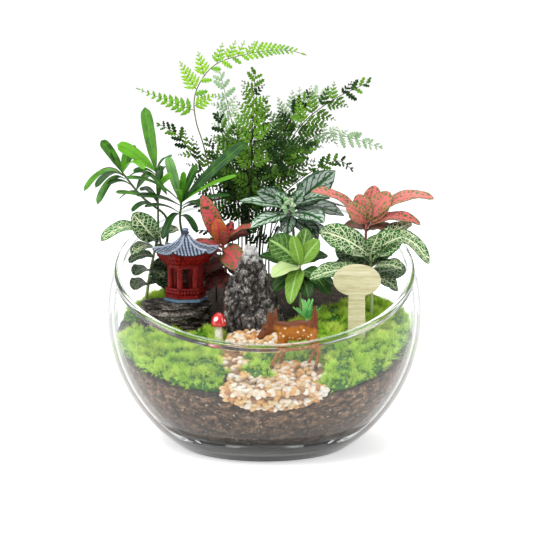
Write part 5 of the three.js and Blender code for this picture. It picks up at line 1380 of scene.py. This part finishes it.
LEAVES = {
    "podocarpus_left": (
        ((-92.5, 38, 170), (-105, 24, 192), 6.5, 2, FRONT, 0.35),
        ((-92.5, 38, 170), (-85, 50, 187), 4.5, 0, FRONT, 0.3),
        ((-92.5, 38, 170), (-77, 19, 174), 5, 6, UP, 0.9), ((-92.5, 38, 169), (-117, 30, 159), 5, 7, UP, 0.5),
        ((-92, 38, 168), (-108, 14, 163), 5, 5, UP, 0.1), ((-91, 38.5, 166), (-108, 24, 151), 5.5, 7, UP, 0.3),
        ((-80, 40, 154), (-96, 28, 158), 5.5, 1, UP, 0.6), ((-79, 40.4, 153), (-96, 56, 151), 5, 4, UP, 0.1),
        ((-84, 39.5, 158), (-76, 56, 168), 4.5, 2, FRONT, 0.2), ((-92.5, 38, 170), (-99, 30, 185), 4.5, 1, FRONT, 0.05),
        ((-92, 38, 168), (-110, 40, 168), 4.5, 4, UP, 0.05), ((-90, 38.6, 166), (-63, 26, 157), 3.6, 9, UP, 0.25),
        ((-86, 39, 161), (-101, 22, 164), 4.5, 3, UP, 0.15), ((-92.5, 38, 170), (-90, 32, 184), 4, 0, FRONT, 0.6)),
    "podocarpus_back": (
        ((-70.5, 36, 171), (-77, 30, 213), 8, 0, FRONT, 0.45), ((-70.5, 36, 171), (-95, 30, 189), 8, 2, FRONT, 0.85),
        ((-69.5, 36, 152), (-68, 46, 174), 4.5, 0, FRONT, 0.2), ((-70.5, 36, 171), (-60, 22, 182), 5, 3, UP, 0.3),
        ((-69.5, 36, 150), (-82, 52, 158), 4.5, 4, UP, 0.1), ((-70, 36, 163), (-66, 56, 172), 5, 4, UP, 0.1),
        ((-70, 36, 168), (-84, 22, 172), 5, 3, UP, 0.1), ((-69.6, 36, 154), (-80, 24, 160), 4.5, 3, UP, 0.05),
        ((-69.5, 36, 146), (-86, 26, 146), 4.5, 5, UP, 0.1), ((-70, 36, 160), (-60, 30, 170), 4, 1, FRONT, 0.7)),
    "podocarpus_right": (
        ((-54.5, 42, 150), (-89, 14, 169), 5.5, 5, UP, 0.3), ((-55, 42, 148), (-82, 20, 157), 7.5, 2, UP, 0.12),
        ((-55.4, 42.6, 143), (-77, 18, 150), 4.5, 3, UP, 0.05), ((-55.4, 42.6, 142), (-66, 25, 128), 5, 6, UP, 0.1),
        ((-54.5, 42, 150), (-12, 24, 191), 7.5, 2, FRONT, 0.12), ((-54.5, 42, 150), (-18, 18, 170), 7, 2, UP, 0.8),
        ((-55.2, 42.6, 145), (-22, 20, 157), 5, 3, UP, 0.1), ((-54.5, 42, 150), (-63, 38, 181), 6.5, 0, FRONT, 1),
        ((-55, 42, 149), (-56, 26, 160), 5, 2, UP, 0.8), ((-54.5, 42, 150), (-60, 74, 160), 5, 5, UP, 0.1),
        ((-54.5, 42, 150), (-44, 32, 176), 5, 1, FRONT, 0.25), ((-55, 42, 147), (-36, 22, 148), 5, 4, UP, 0.05),
        ((-54.5, 42, 150), (-52, 26, 172), 4, 1, FRONT, 0.5), ((-55.4, 42.6, 141), (-44, 30, 132), 4.5, 4, UP, 0.05)),
    "fittonia_white_left": (
        ((-70, 28, 127), (-84, 8, 147), 16, 0, FRONT, 0.4), ((-70, 28, 127), (-104, 3, 130), 13, 9, UP, 0.8),
        ((-70, 28, 127), (-56, 34, 133), 11, 3, UP, 0.3), ((-70.5, 28.6, 121), (-85, 9, 120), 11, 4, UP, 0.2),
        ((-74.5, 32, 106), (-84, 15, 106), 12, 3, UP, 0.05), ((-76, 34.5, 97), (-85, 19, 96), 13, 3, UP, 0),
        ((-75, 33, 103), (-66, 24, 103), 10, 3, UP, 0), ((-71, 29, 119), (-62, 36, 117), 10, 3, UP, 0.05),
        ((-74, 32, 109), (-60, 36, 105), 11, 3, UP, 0), ((-72, 30, 116), (-88, 24, 113), 10, 3, UP, 0.05),
        ((-70, 28, 125), (-77, 14, 131), 9, 1, UP, 0.1), ((-75, 33, 103), (-54, 42, 106), 14, 3, UP, 0),
        ((-76, 34.5, 97), (-57, 41, 98), 13, 3, UP, 0), ((-74, 32, 109), (-50, 38, 108), 14, 1, FRONT, 0),
        ((-75, 33, 101), (-48, 40, 96), 15, 2, FRONT, 0)),
    "fittonia_red_centre": (
        ((-27, 33, 123), (-40, 22, 157), 12, 0, FRONT, 0.5), ((-27, 33, 123), (-31, 20, 142), 10, 0, FRONT, 1),
        ((-27, 33, 123), (-21, 32, 139), 7, 0, FRONT, 0.2), ((-27, 33, 123), (-6, 16, 137), 10, 4, UP, 0.5),
        ((-26.6, 33, 120), (-16, 19, 108), 16, 3, FRONT, 0.7), ((-27, 33, 121), (-47, 34, 125), 7, 2, UP, 0.3),
        ((-27, 33, 123), (-10, 35, 130), 11, 3, UP, 0), ((-25.6, 34, 112), (-38, 24, 106), 13, 2, UP, 0),
        ((-25.5, 34, 109), (-13, 30, 99), 12, 3, UP, 0), ((-25.5, 34, 105), (-30, 25, 96), 11, 2, UP, 0),
        ((-27, 33, 123), (-26, 20, 134), 6, 0, FRONT, 0.6), ((-26.5, 33, 118), (-36, 20, 119), 8, 2, UP, 0.1),
        ((-25.5, 34, 104), (-38, 28, 94), 11, 2, UP, 0), ((-25.5, 34, 102), (-16, 26, 91), 11, 2, UP, 0),
        ((-25.5, 34, 104), (-47, 41, 102), 13, 3, UP, 0), ((-25.5, 34, 107), (-58, 40, 101), 15, 2, FRONT, 0),
        ((-25.5, 34, 109), (-46, 42, 112), 12, 3, UP, 0)),
    "fittonia_pale_centre": (
        ((23, 13.5, 113), (3, 9, 130), 19, 2, FRONT, 0.25), ((23, 13.5, 113), (18, 7, 133), 9, 0, FRONT, 0.9),
        ((23, 13.5, 113), (27, 19, 136), 12, 1, FRONT, 0.35), ((23, 13.5, 113), (35, 8, 130), 11, 1, FRONT, 0.85),
        ((23, 13.5, 111), (5, -6, 108), 13, 3, UP, 1), ((23, 14, 110), (16, -8, 91), 11, 5, UP, 0.8),
        ((23, 14, 110), (-3, 20, 118), 13, 2, UP, 0), ((23, 14, 108), (38, 2, 100), 13, 4, UP, 0.1),
        ((23, 14.5, 101), (36, 22, 103), 12, 3, UP, 0), ((23, 14, 107), (5, 3, 97), 13, 3, UP, 0.05),
        ((23, 14, 106), (28, -2, 94), 12, 3, UP, 0.05), ((23, 14.5, 103), (43, 10, 94), 13, 3, UP, 0),
        ((23, 14.5, 101), (46, 20, 99), 13, 3, UP, 0), ((23, 14.5, 104), (6, 22, 102), 12, 3, UP, 0),
        ((23, 13.5, 113), (41, 20, 118), 11, 2, UP, 0.05)),
    "pilea": (
        ((17, 35, 147), (-16, 25, 153), 13, 1, UP), ((17, 35, 147), (-5, 33, 158), 12, 2, FRONT, 0.1),
        ((17, 35.4, 143), (-9, 14, 137), 14, 2, UP, 0.9), ((17, 35.4, 143), (38, 15, 140), 20, 3, UP, 0.9),
        ((17, 35, 147), (52, 37, 142), 18, 3, UP, 0.1), ((17, 35, 147), (42, 22, 155), 16, 3, UP, 0.4),
        ((17, 35, 147), (46, 34, 172), 18, 0, FRONT, 0.1), ((17.5, 35.8, 139), (35, 27, 128), 15, 2, UP, 0.2),
        ((18, 36, 136), (46, 48, 124), 18, 3, UP, 0), ((17.4, 35.8, 141), (23, 62, 138), 16, 3, UP, 0),
        ((18, 36, 137), (6, 50, 124), 15, 3, UP, 0), ((17, 35, 147), (6, 24, 158), 9, 1, FRONT, 0.7),
        ((17, 35, 147), (26, 26, 160), 9, 1, FRONT, 0.4), ((17.4, 35.6, 142), (14, 20, 131), 11, 2, UP, 0.1)),
    "fittonia_white_right": (
        ((68, 12, 119), (35, 3, 136), 17, 3, FRONT, 0.5), ((68.5, 12, 114), (105, 3, 115), 15, 17, UP, 0.5),
        ((68, 12, 121), (88, 3, 133), 16, 1, FRONT, 0.6), ((68, 12, 121), (95, 20, 139), 14, 3, UP, 0.3),
        ((68.6, 12, 112), (81, 26, 119), 14, 3, UP, 0.1), ((68.8, 12, 110), (87, -5, 113), 14, 3, UP, 0.3),
        ((68, 12, 121), (72, 2, 134), 11, 0, FRONT, 0.5), ((68.8, 12, 108), (29, -8, 107), 17, 4, UP, 0.6),
        ((69, 12, 104), (84, 2, 99), 12, 3, UP, 0.1), ((68, 12, 119), (40, 24, 135), 15, 3, UP, 0),
        ((69, 12, 102), (50, 16, 98), 13, 3, UP, 0), ((68.8, 12, 107), (56, 20, 108), 13, 3, UP, 0),
        ((69, 12, 103), (86, 14, 96), 13, 3, UP, 0), ((68.4, 12, 114), (56, 0, 121), 10, 2, UP, 0.3),
        ((68.4, 12, 113), (46, 26, 121), 15, 2, FRONT, 0.02), ((68.6, 12, 109), (45, 22, 110), 14, 2, FRONT, 0),
        ((68.8, 12, 106), (92, 24, 108), 13, 2, FRONT, 0.03), ((68.4, 12, 116), (84, 24, 126), 13, 2, FRONT, 0.02)),
    "fittonia_red_right": (
        ((66, 27.5, 138), (30, 16, 160), 13, 6, UP, 0.4), ((66, 27.5, 138), (60, 21, 158), 13, 0, FRONT, 0.6),
        ((66, 27.5, 138), (52, 13, 150), 12, 2, FRONT, 0.5), ((66, 27.5, 138), (72, 36, 162), 13, 0, FRONT, 0.2),
        ((66, 27.5, 138), (81, 22, 159), 14, 1, FRONT, 0.6), ((66, 27.5, 138), (109, 20, 155), 13, 8, UP, 0.4),
        ((66, 28, 135), (100, 14, 139), 12, 6, UP, 0.2), ((66, 27.5, 138), (84, 50, 149), 13, 4, UP, 0.1),
        ((66, 28, 133), (58, 50, 144), 13, 3, UP, 0), ((66, 28, 134), (50, 30, 133), 11, 3, UP, 0),
        ((66, 28, 133), (82, 20, 134), 11, 3, UP, 0), ((65.6, 28.6, 122), (50, 32, 118), 12, 3, UP, 0),
        ((65.6, 28.8, 118), (80, 34, 114), 12, 3, UP, 0)),
}
STRAP_LEAF = {"fold": 0.12, "columns": 6, "rows": 18}
VEINED_LEAF = {"ruffle": 0.03, "scallops": 9, "rows": 26, "columns": 10}
PILEA_LEAF = {"ruffle": 0.02, "scallops": 11, "rows": 28, "columns": 10}
# Each plant's leaf outline, finish, slot and the leaf's form
STYLES = {
    **{"podocarpus_" + side: (STRAP, strap, "strap_leaf", STRAP_LEAF) for side in ("left", "back", "right")},
    "fittonia_white_left": (ROUND, white_veined, "white_veined_leaf", VEINED_LEAF),
    "fittonia_red_centre": (ROUND, red_veined, "red_veined_leaf", VEINED_LEAF),
    "fittonia_pale_centre": (ROUND, pale_veined, "pale_veined_leaf", VEINED_LEAF),
    "pilea": (BROAD, silver, "silver_leaf", PILEA_LEAF),
    "fittonia_white_right": (ROUND, white_veined, "white_veined_leaf", VEINED_LEAF),
    "fittonia_red_right": (ROUND, pink_veined, "pink_veined_leaf", VEINED_LEAF),
}


def planted(x, y, rest):
    """The places of a stem from its foot in the soil up."""
    return [(x, y, ground(y) - 11), (x, y, ground(y) + 5), *rest]


def grow_plant(node):
    outline, finish, slot, style = STYLES[node]
    x, y, radius = ROOTS[node]
    growth = Growth()
    growth.stem(planted(x, y, STEMS[node]), radius, radius * 0.6)
    random = np.random.default_rng(len(node) + int(x + 100))
    for *leaf, face, tone in (row if len(row) == 6 else (*row, None) for row in LEAVES[node]):
        tone = random.random() * 0.9 if tone is None else tone
        grow_leaf(growth, outline, *leaf, face, tone, **style)
    if node == "pilea":
        growth.stem([(17, 35, 146), (16.5, 32.5, 149.5), (16, 31, 152.6)], 0.6, 0.5)
    growth.piece(node + "_plant", finish, slot, [node])


def pilea_buds():
    """The small pale leaves at the plant's top."""
    random = np.random.default_rng(4)
    growth = Growth()
    for _ in range(30):
        way = unit(random.normal(size=3) + (0, -0.6, 0.3))
        start = np.array([15, 30.5, 149.5]) + way * 1.5
        tip = start + way * random.uniform(3.5, 6)
        grow_leaf(growth, BROAD, start, tip, 2.8, 0.3, FRONT, random.random(), rows=6, columns=4)
    growth.piece("pilea_buds", bud_finish, "silver_leaf")


def star_plant():
    """Three rings of pointed leaves, longer and lower by turns."""
    x, y, radius = ROOTS["star_plant"]
    growth = Growth()
    growth.stem([(x, y, ground(y) - 11), (x, y, 76), (x, y, 84)], radius, 0.9)
    middle = np.array([x, y, 82.6])
    for turn, count, scale in ((0, 8, 1.0), (0.4, 8, 0.8), (0.2, 6, 0.5)):
        for i in range(count):
            angle = turn + i * 2 * math.pi / count
            k = i % 2
            reach = np.array([9 - 4 * k, 7 - 3 * k]) * scale
            tip = np.array([x + reach[0] * math.cos(angle), y + reach[1] * math.sin(angle), 90 + 5 * k])
            start = middle + (tip - middle) * 0.06
            face = (x - tip[0], y - tip[1], 9)
            grow_leaf(growth, STAR, start, tip, 3.2, -0.5, face, (i % 3) / 2, rows=12, columns=6, fold=0.12, half=0.3)
    growth.piece("star_plant_leaves", mint, "mint_leaf", ["star_plant"])


bud_finish = Finish("pale_buds", Roughness=0.6)
bud_finish.feed("Base Color", bud_finish.mix(bud_finish.mark("tone"), (0.12, 0.36, 0.1), (0.76, 0.85, 0.6)))

for plant in STYLES:
    grow_plant(plant)
pilea_buds()
star_plant()


# ------------------------------------------------------------- the fern

ARCH_UPPER = ((0, 40), (0.15, 21), (0.26, 16), (0.38, 13.5), (0.46, 12.5), (0.53, 10.5), (0.595, 9.2), (0.65, 7.8),
              (0.705, 6.6), (0.755, 5.6), (0.805, 4.6), (0.855, 3.8), (0.91, 3))
ARCH_LOWER = ((0.03, 16), (0.12, 8), (0.22, 7), (0.33, 6.5), (0.42, 7.5), (0.495, 6.5), (0.56, 5.5), (0.62, 5.2),
              (0.68, 5), (0.73, 4.5), (0.78, 4), (0.83, 3.4), (0.885, 2.8))


def even_row(count, longest, shift, taper=1.1):
    """Leaflets up one side of a frond: their shares of the leafy part and their lengths."""
    return [(1 - (1 - (i + shift) / (count + 0.3)) ** 1.4, longest * (0.1 + 0.9 * (1 - i / count) ** taper))
            for i in range(count)]


LEAN = math.radians(62)
DROOP = 0.12
THINNED = (125, 180)  # the heights between which the fern goes from thin to full
ARCH_WHOLE = 6  # how many of the arched frond's leaflets aren't multiplied
UNRULY = 0.2  # a frond whose leaflets turn about more than this loses some of them, low down
SHORT = 9  # leaflets shorter than this are combs
# Each frond: root in plan, the rib's further places, the way that it faces, the bare share of its stalk,
# its leaflets to the left and right, how many more are set than the solid has, and its colour: the lit, shaded or pale
# copy of the fern's green, painted light and painted shade.
FRONDS = (
    ((-24, 45), ((-31, 45, 142), (-39.5, 41, 187), (-44.4, 36, 204), (-45, 31, 219.7), (-39.4, 28.5, 232.1),
                 (-32, 27.5, 240.1), (-24.6, 26, 243.6), (-11.9, 24, 247.1), (-1, 23, 249), (9.9, 22, 249.9),
                 (19.5, 21, 248.9), (26.8, 20, 246.6)), FRONT, 0.6, ARCH_UPPER, ARCH_LOWER, 1, "light"),
    ((-32, 50), ((-33, 51, 138), (-38, 51, 165), (-49, 49, 183), (-58, 46, 195), (-70, 42, 202)),
     (-0.2, -1, 0.3), 0.5, even_row(8, 15, 0.5), even_row(8, 20, 0), 1.5, "dark"),
    ((-14, 47), ((-11, 46, 132), (-9, 45, 165), (-8, 44, 195), (-6, 40, 236)), FRONT, 0.46,
     even_row(10, 28, 0.5, 1), even_row(10, 28, 0, 1), 1.25, "dark"),
    ((-19, 55), ((-17, 55, 130), (-18, 56, 157), (-23, 58, 183), (-31, 60, 208)), (-0.2, -1, 0.3), 0.45,
     even_row(8, 24, 0.5), even_row(8, 24, 0), 1.25, "dark"),
    ((-4, 49), ((-2, 51, 128), (6, 50.5, 165), (22, 45.5, 198), (42, 37, 216), (68, 26, 230)), FRONT, 0.45,
     even_row(10, 26, 0.5), even_row(10, 26, 0), 1.25, "dark"),
    ((3, 58), ((4, 58, 128), (15, 60, 170), (34, 62, 193), (55, 66, 191), (79, 70, 183)), (0.1, -1, 0.5), 0.5,
     even_row(9, 18, 0.5), even_row(9, 18, 0), 1.5, "pale"),
    ((-5, 40), ((-4, 40.6, 128), (4, 41, 147), (18, 42.3, 161), (36, 44.6, 173), (50, 46.6, 177), (58, 47.6, 170)),
     (0.1, -1, 0.3), 0.5, even_row(8, 15, 0.5), even_row(8, 15, 0), 1.5, "dark"),
    ((-12, 64), ((-13, 62, 132), (-15, 64, 155), (-19, 78, 185), (-25, 90, 212), (-31, 96, 236)), (0, -1, 0.2), 0.45,
     even_row(7, 24, 0.5), even_row(7, 24, 0), 1.6, "pale"),
    ((-4, 65), ((-2, 64, 132), (5, 65, 180), (19, 69, 210), (45, 74, 221)), (0.1, -1, 0.3), 0.55,
     even_row(7, 22, 0.5), even_row(7, 22, 0), 1.6, "pale"),
)
# Smaller fronds that fill the fern's middle, by the frond they stand with: root in plan, places, leaflets a
# side and the longest one.
SIDE_FRONDS = {
    2: (((-20, 50), ((-24, 50, 120), (-33, 49, 130), (-45, 48, 131)), 7, 12),
        ((-18, 50), ((-22, 49, 126), (-32, 47, 142), (-48, 45, 150)), 7, 14)),
    3: (((-11, 50), ((-13, 49, 135), (-22, 46, 160), (-36, 43, 180)), 8, 18),
        ((-9, 52), ((-10, 50, 140), (-12, 48, 170), (-20, 46, 200)), 8, 20)),
    4: (((-16, 53), ((-16, 52, 140), (-26, 50, 168), (-38, 48, 192)), 8, 18),
        ((-12, 56), ((-11, 54, 150), (-8, 52, 185), (2, 50, 216)), 9, 22)),
    5: (((-2, 52), ((0, 50, 130), (8, 48, 158), (20, 46, 178), (36, 44, 190)), 9, 18),
        ((-4, 54), ((-2, 52, 140), (6, 50, 178), (18, 47, 206), (30, 44, 222)), 9, 22)),
    7: (((-6, 42), ((-5, 42, 126), (-2, 42, 146), (-6, 41, 166)), 7, 14),
        ((0, 44), ((3, 45, 124), (14, 46, 144), (30, 47, 152)), 7, 14)),
}
PINNULE = ((0, 0.3), (0.25, 0.95), (0.4, 0.62), (0.55, 0.84), (0.75, 0.5), (1, 0.04))


def fuller(row, more):
    """The same row of leaflets with more of them."""
    shares, reaches = (np.array(column) for column in zip(*row))
    count = round(len(row) * more)
    at = np.linspace(0, len(row) - 1, count)
    return list(zip(np.interp(at, range(len(row)), shares), np.interp(at, range(len(row)), reaches)))


def leaflet(growth, start, way, up, length, width, tone, outline, lean=0.0, fold=0.12, half=0.1):
    """A small leaf, three points wide, from shares of its length and width. The lean carries its edges on."""
    shares, spreads = (np.array(column) for column in zip(*outline))
    across = np.cross(up, way)
    side = np.array([1, 0, -1.0])
    ahead = lean * width / 2 * np.abs(side)[None, :] * spreads[:, None]
    spine = start + way * (shares * length)[:, None] - up * (0.1 * length * shares**2)[:, None]
    sheet = spine[:, None, :] + across * (spreads[:, None] * side * width / 2)[..., None] + way * ahead[..., None]
    sheet = sheet + up * (fold * width * np.abs(side))[None, :, None]
    places = np.stack(np.broadcast_arrays(side / 2 + 0.5, shares[:, None]), -1).reshape(-1, 2)
    growth.blade(sheet, np.broadcast_to(up, sheet.shape), half, places, tone)


def comb(growth, start, way, up, length, width, tone):
    """A short leaflet cut into teeth like a comb."""
    teeth = int(np.clip(length / 1.8, 3, 6))
    outline = [(0.0, 0.16)]
    for tooth in range(teeth):
        at = (tooth + 0.2) / (teeth + 0.4)
        full = (1 - 0.75 * at**1.6) * min(1, 0.72 + tooth * 0.25)
        outline += [(at + 0.02, full * 0.9), (at + 0.45 / teeth, full), (at + 0.75 / teeth, full * 0.42)]
    outline.append((1.0, 0.05))
    leaflet(growth, start, way, up, length, width, tone, outline, lean=0.28, fold=0.1, half=0.12)


def grow_frond(growth, random, wild, root, path, face, bare, left, right, more):
    """One frond: its stalk, and leaflets at both sides that are combs if short, else rows of pinnules."""
    route = Route(planted(*root, path))
    growth.stem([route.place(s) for s in np.linspace(0, 1, 30)], 0.62, 0.2, 6, spacing=4)
    look = unit(face)
    for row, side in ((left, 1), (right, -1)):
        row = fuller(row, more) if more > 1 else row[:ARCH_WHOLE] + tuple(fuller(row[ARCH_WHOLE:], 1.6))
        for index, (place, reach) in enumerate(row):
            following = row[index + 1][0] if index + 1 < len(row) else 1
            before = row[index - 1][0] if index else place - (following - place)
            pitch = (following - before) / 2 * (1 - bare) * route.length
            share = bare + place * (1 - bare)
            spot, along = route.at(share)
            across = unit(np.cross(look, along))
            up = np.cross(along, across)
            turn = LEAN * (1 - 0.3 * place) + random.uniform(-wild, wild)
            way = unit(along * math.cos(turn) + across * side * math.sin(turn) + up * random.uniform(-wild, wild))
            ahead = unit(along * math.sin(turn) - across * side * math.cos(turn))
            up = unit(np.cross(way, ahead))
            up = up if np.dot(up, look) > 0 else -up
            if wild > UNRULY and random.random() < np.interp(spot[2], THINNED, (0.52, 0)):
                continue
            broad = min(max(pitch * 0.85, 1.7), 8, reach * 0.44) * np.interp(spot[2], (120, 190), (0.75, 1))
            # Leaflets lower down get darker tones: painted shade under the fronds above.
            tone = random.uniform(0.25 if wild < UNRULY else 0, 0.9) * float(np.interp(spot[2], (130, 210), (0.25, 1)))
            if reach < SHORT:
                comb(growth, spot, way, up, reach * 1.05, min(pitch * 1.06, reach * 0.6), tone)
                continue
            rib = [spot + way * u * reach - up * DROOP * u * u * reach for u in (0, 0.35, 0.7, 1)]
            growth.stem(rib, 0.24, 0.1, 4, tone, spacing=5)
            pairs = int(np.clip(reach / 2.8, 3, 9))
            for k in range(pairs):
                u = 0.05 + 0.9 * (k + 0.3) / pairs
                base = spot + way * u * reach - up * DROOP * u * u * reach
                long = max(broad * (1 - u) ** 0.75 * 1.02, 0.9)
                wide = min(reach / pairs * 0.84, long * 0.64)
                for hand in (1, -1):
                    lean = 0.95 + random.uniform(-0.08, 0.08)
                    out = way * math.cos(lean) + ahead * hand * math.sin(lean)
                    out = unit(out + up * random.uniform(-0.12, 0.16))
                    top = unit(up - out * np.dot(up, out))
                    leaflet(growth, base + way * (0.3 * hand), out, top, long, wide, tone, PINNULE)
            end = spot + way * 0.93 * reach - up * DROOP * 0.93**2 * reach
            leaflet(growth, end, way, unit(up - way * np.dot(up, way)), max(0.08 * reach, 1.2), 1.0, tone, PINNULE)
    tip, along = route.at(0.985)
    across = unit(np.cross(look, along))
    leaflet(growth, tip, along, np.cross(along, across), 3, 1.6, 0.5, PINNULE)


for number, (*frond, kind) in enumerate(FRONDS, 1):
    growth, random = Growth(), np.random.default_rng(number)
    wild = 0.1 if kind == "light" else 0.3
    grow_frond(growth, random, wild, *frond)
    for root, path, count, longest in SIDE_FRONDS.get(number, ()):
        rows = even_row(count, longest, 0.5), even_row(count, longest, 0)
        grow_frond(growth, random, wild, root, path, (0, -1, 0.3), 0.5, *rows, 1.2)
    growth.piece(f"fern_frond_{number}_leaf", fern_finishes[kind], "fern_" + kind, [f"fern_frond_{number}"])


# ------------------------------------------------------------- camera, floor and light


def camera():
    """The photograph's view: from the front, a little above."""
    distance, target, rise = 1.2, Vector((0, 0, 0.084)), math.radians(10)
    data = bpy.data.cameras.new("view")
    data.sensor_width = 36
    data.lens = FOCAL_LENGTH / PICTURE_WIDTH * data.sensor_width
    data.shift_x, data.shift_y = (pixels / PICTURE_WIDTH for pixels in FRAME_SHIFT)
    data.clip_start, data.clip_end = 0.05, 20
    seen = bpy.data.objects.new("view", data)
    seen.location = target + Vector((0, -distance * math.cos(rise), distance * math.sin(rise)))
    seen.rotation_euler = (target - seen.location).to_track_quat("-Z", "Y").to_euler()
    bpy.context.scene.collection.objects.link(seen)
    bpy.context.scene.camera = seen


# The lamps: name, place, what they aim at, size and power, in metres and watts
LAMPS = (
    ("key", (-0.55, -0.95, 1.15), (0, 0, 0.12), (0.6, 0.6), 12),
    ("left_strip", (-1.1, -0.35, 0.45), (0, 0, 0.1), (0.5, 0.9), 6),
    ("right_strip", (1.1, -0.45, 0.45), (0, 0, 0.1), (0.5, 0.9), 6),
    ("top", (0.15, 0.3, 1.2), (0, 0, 0.1), (0.8, 0.8), 6),
)


def softbox(name, place, aim, size, power):
    data = bpy.data.lights.new(name, "AREA")
    data.shape = "RECTANGLE"
    data.size, data.size_y = size
    data.energy = power
    lamp = bpy.data.objects.new(name, data)
    lamp.location = place
    lamp.rotation_euler = (Vector(aim) - Vector(place)).to_track_quat("-Z", "Y").to_euler()
    bpy.context.scene.collection.objects.link(lamp)


def studio():
    """A white backdrop that lights softly from behind and above, a pale floor and four soft lamps."""
    world = bpy.data.worlds.new("studio")
    world.use_nodes = True
    sky = Graph(world.node_tree)
    way = sky.node("ShaderNodeSeparateXYZ", {}, {0: sky.node("ShaderNodeTexCoord", output="Generated")})
    backward = Wire(sky, way.socket.node.outputs["Y"])
    upward = Wire(sky, way.socket.node.outputs["Z"])
    glow = sky.step(backward, 0.55, 0.9) * 0.6 + sky.step(upward, 0.2, 0.9) * 0.45 + 0.3
    seen = sky.node("ShaderNodeLightPath", output="Is Camera Ray")
    strength = sky.math("MAXIMUM", seen, glow)
    backdrop = world.node_tree.nodes["Background"]
    backdrop.inputs["Color"].default_value = (1, 1, 1, 1)
    world.node_tree.links.new(strength.socket, backdrop.inputs["Strength"])
    bpy.context.scene.world = world
    corners = [(x * 3000, y * 3000, -0.2) for x, y in ((-1, -1), (1, -1), (1, 1), (-1, 1))]
    floor = mesh_object("studio_floor", corners, [(0, 1, 2, 3)])
    paper = Finish("pale_paper", Base_Color=(0.9, 0.9, 0.9, 1), Roughness=0.9, Emission_Color=(1, 1, 1, 1),
                   Emission_Strength=0.5)
    floor.data.materials.append(paper.material)
    for lamp in LAMPS:
        softbox(*lamp)
    bpy.context.scene.view_settings.view_transform = "Standard"


camera()
studio()
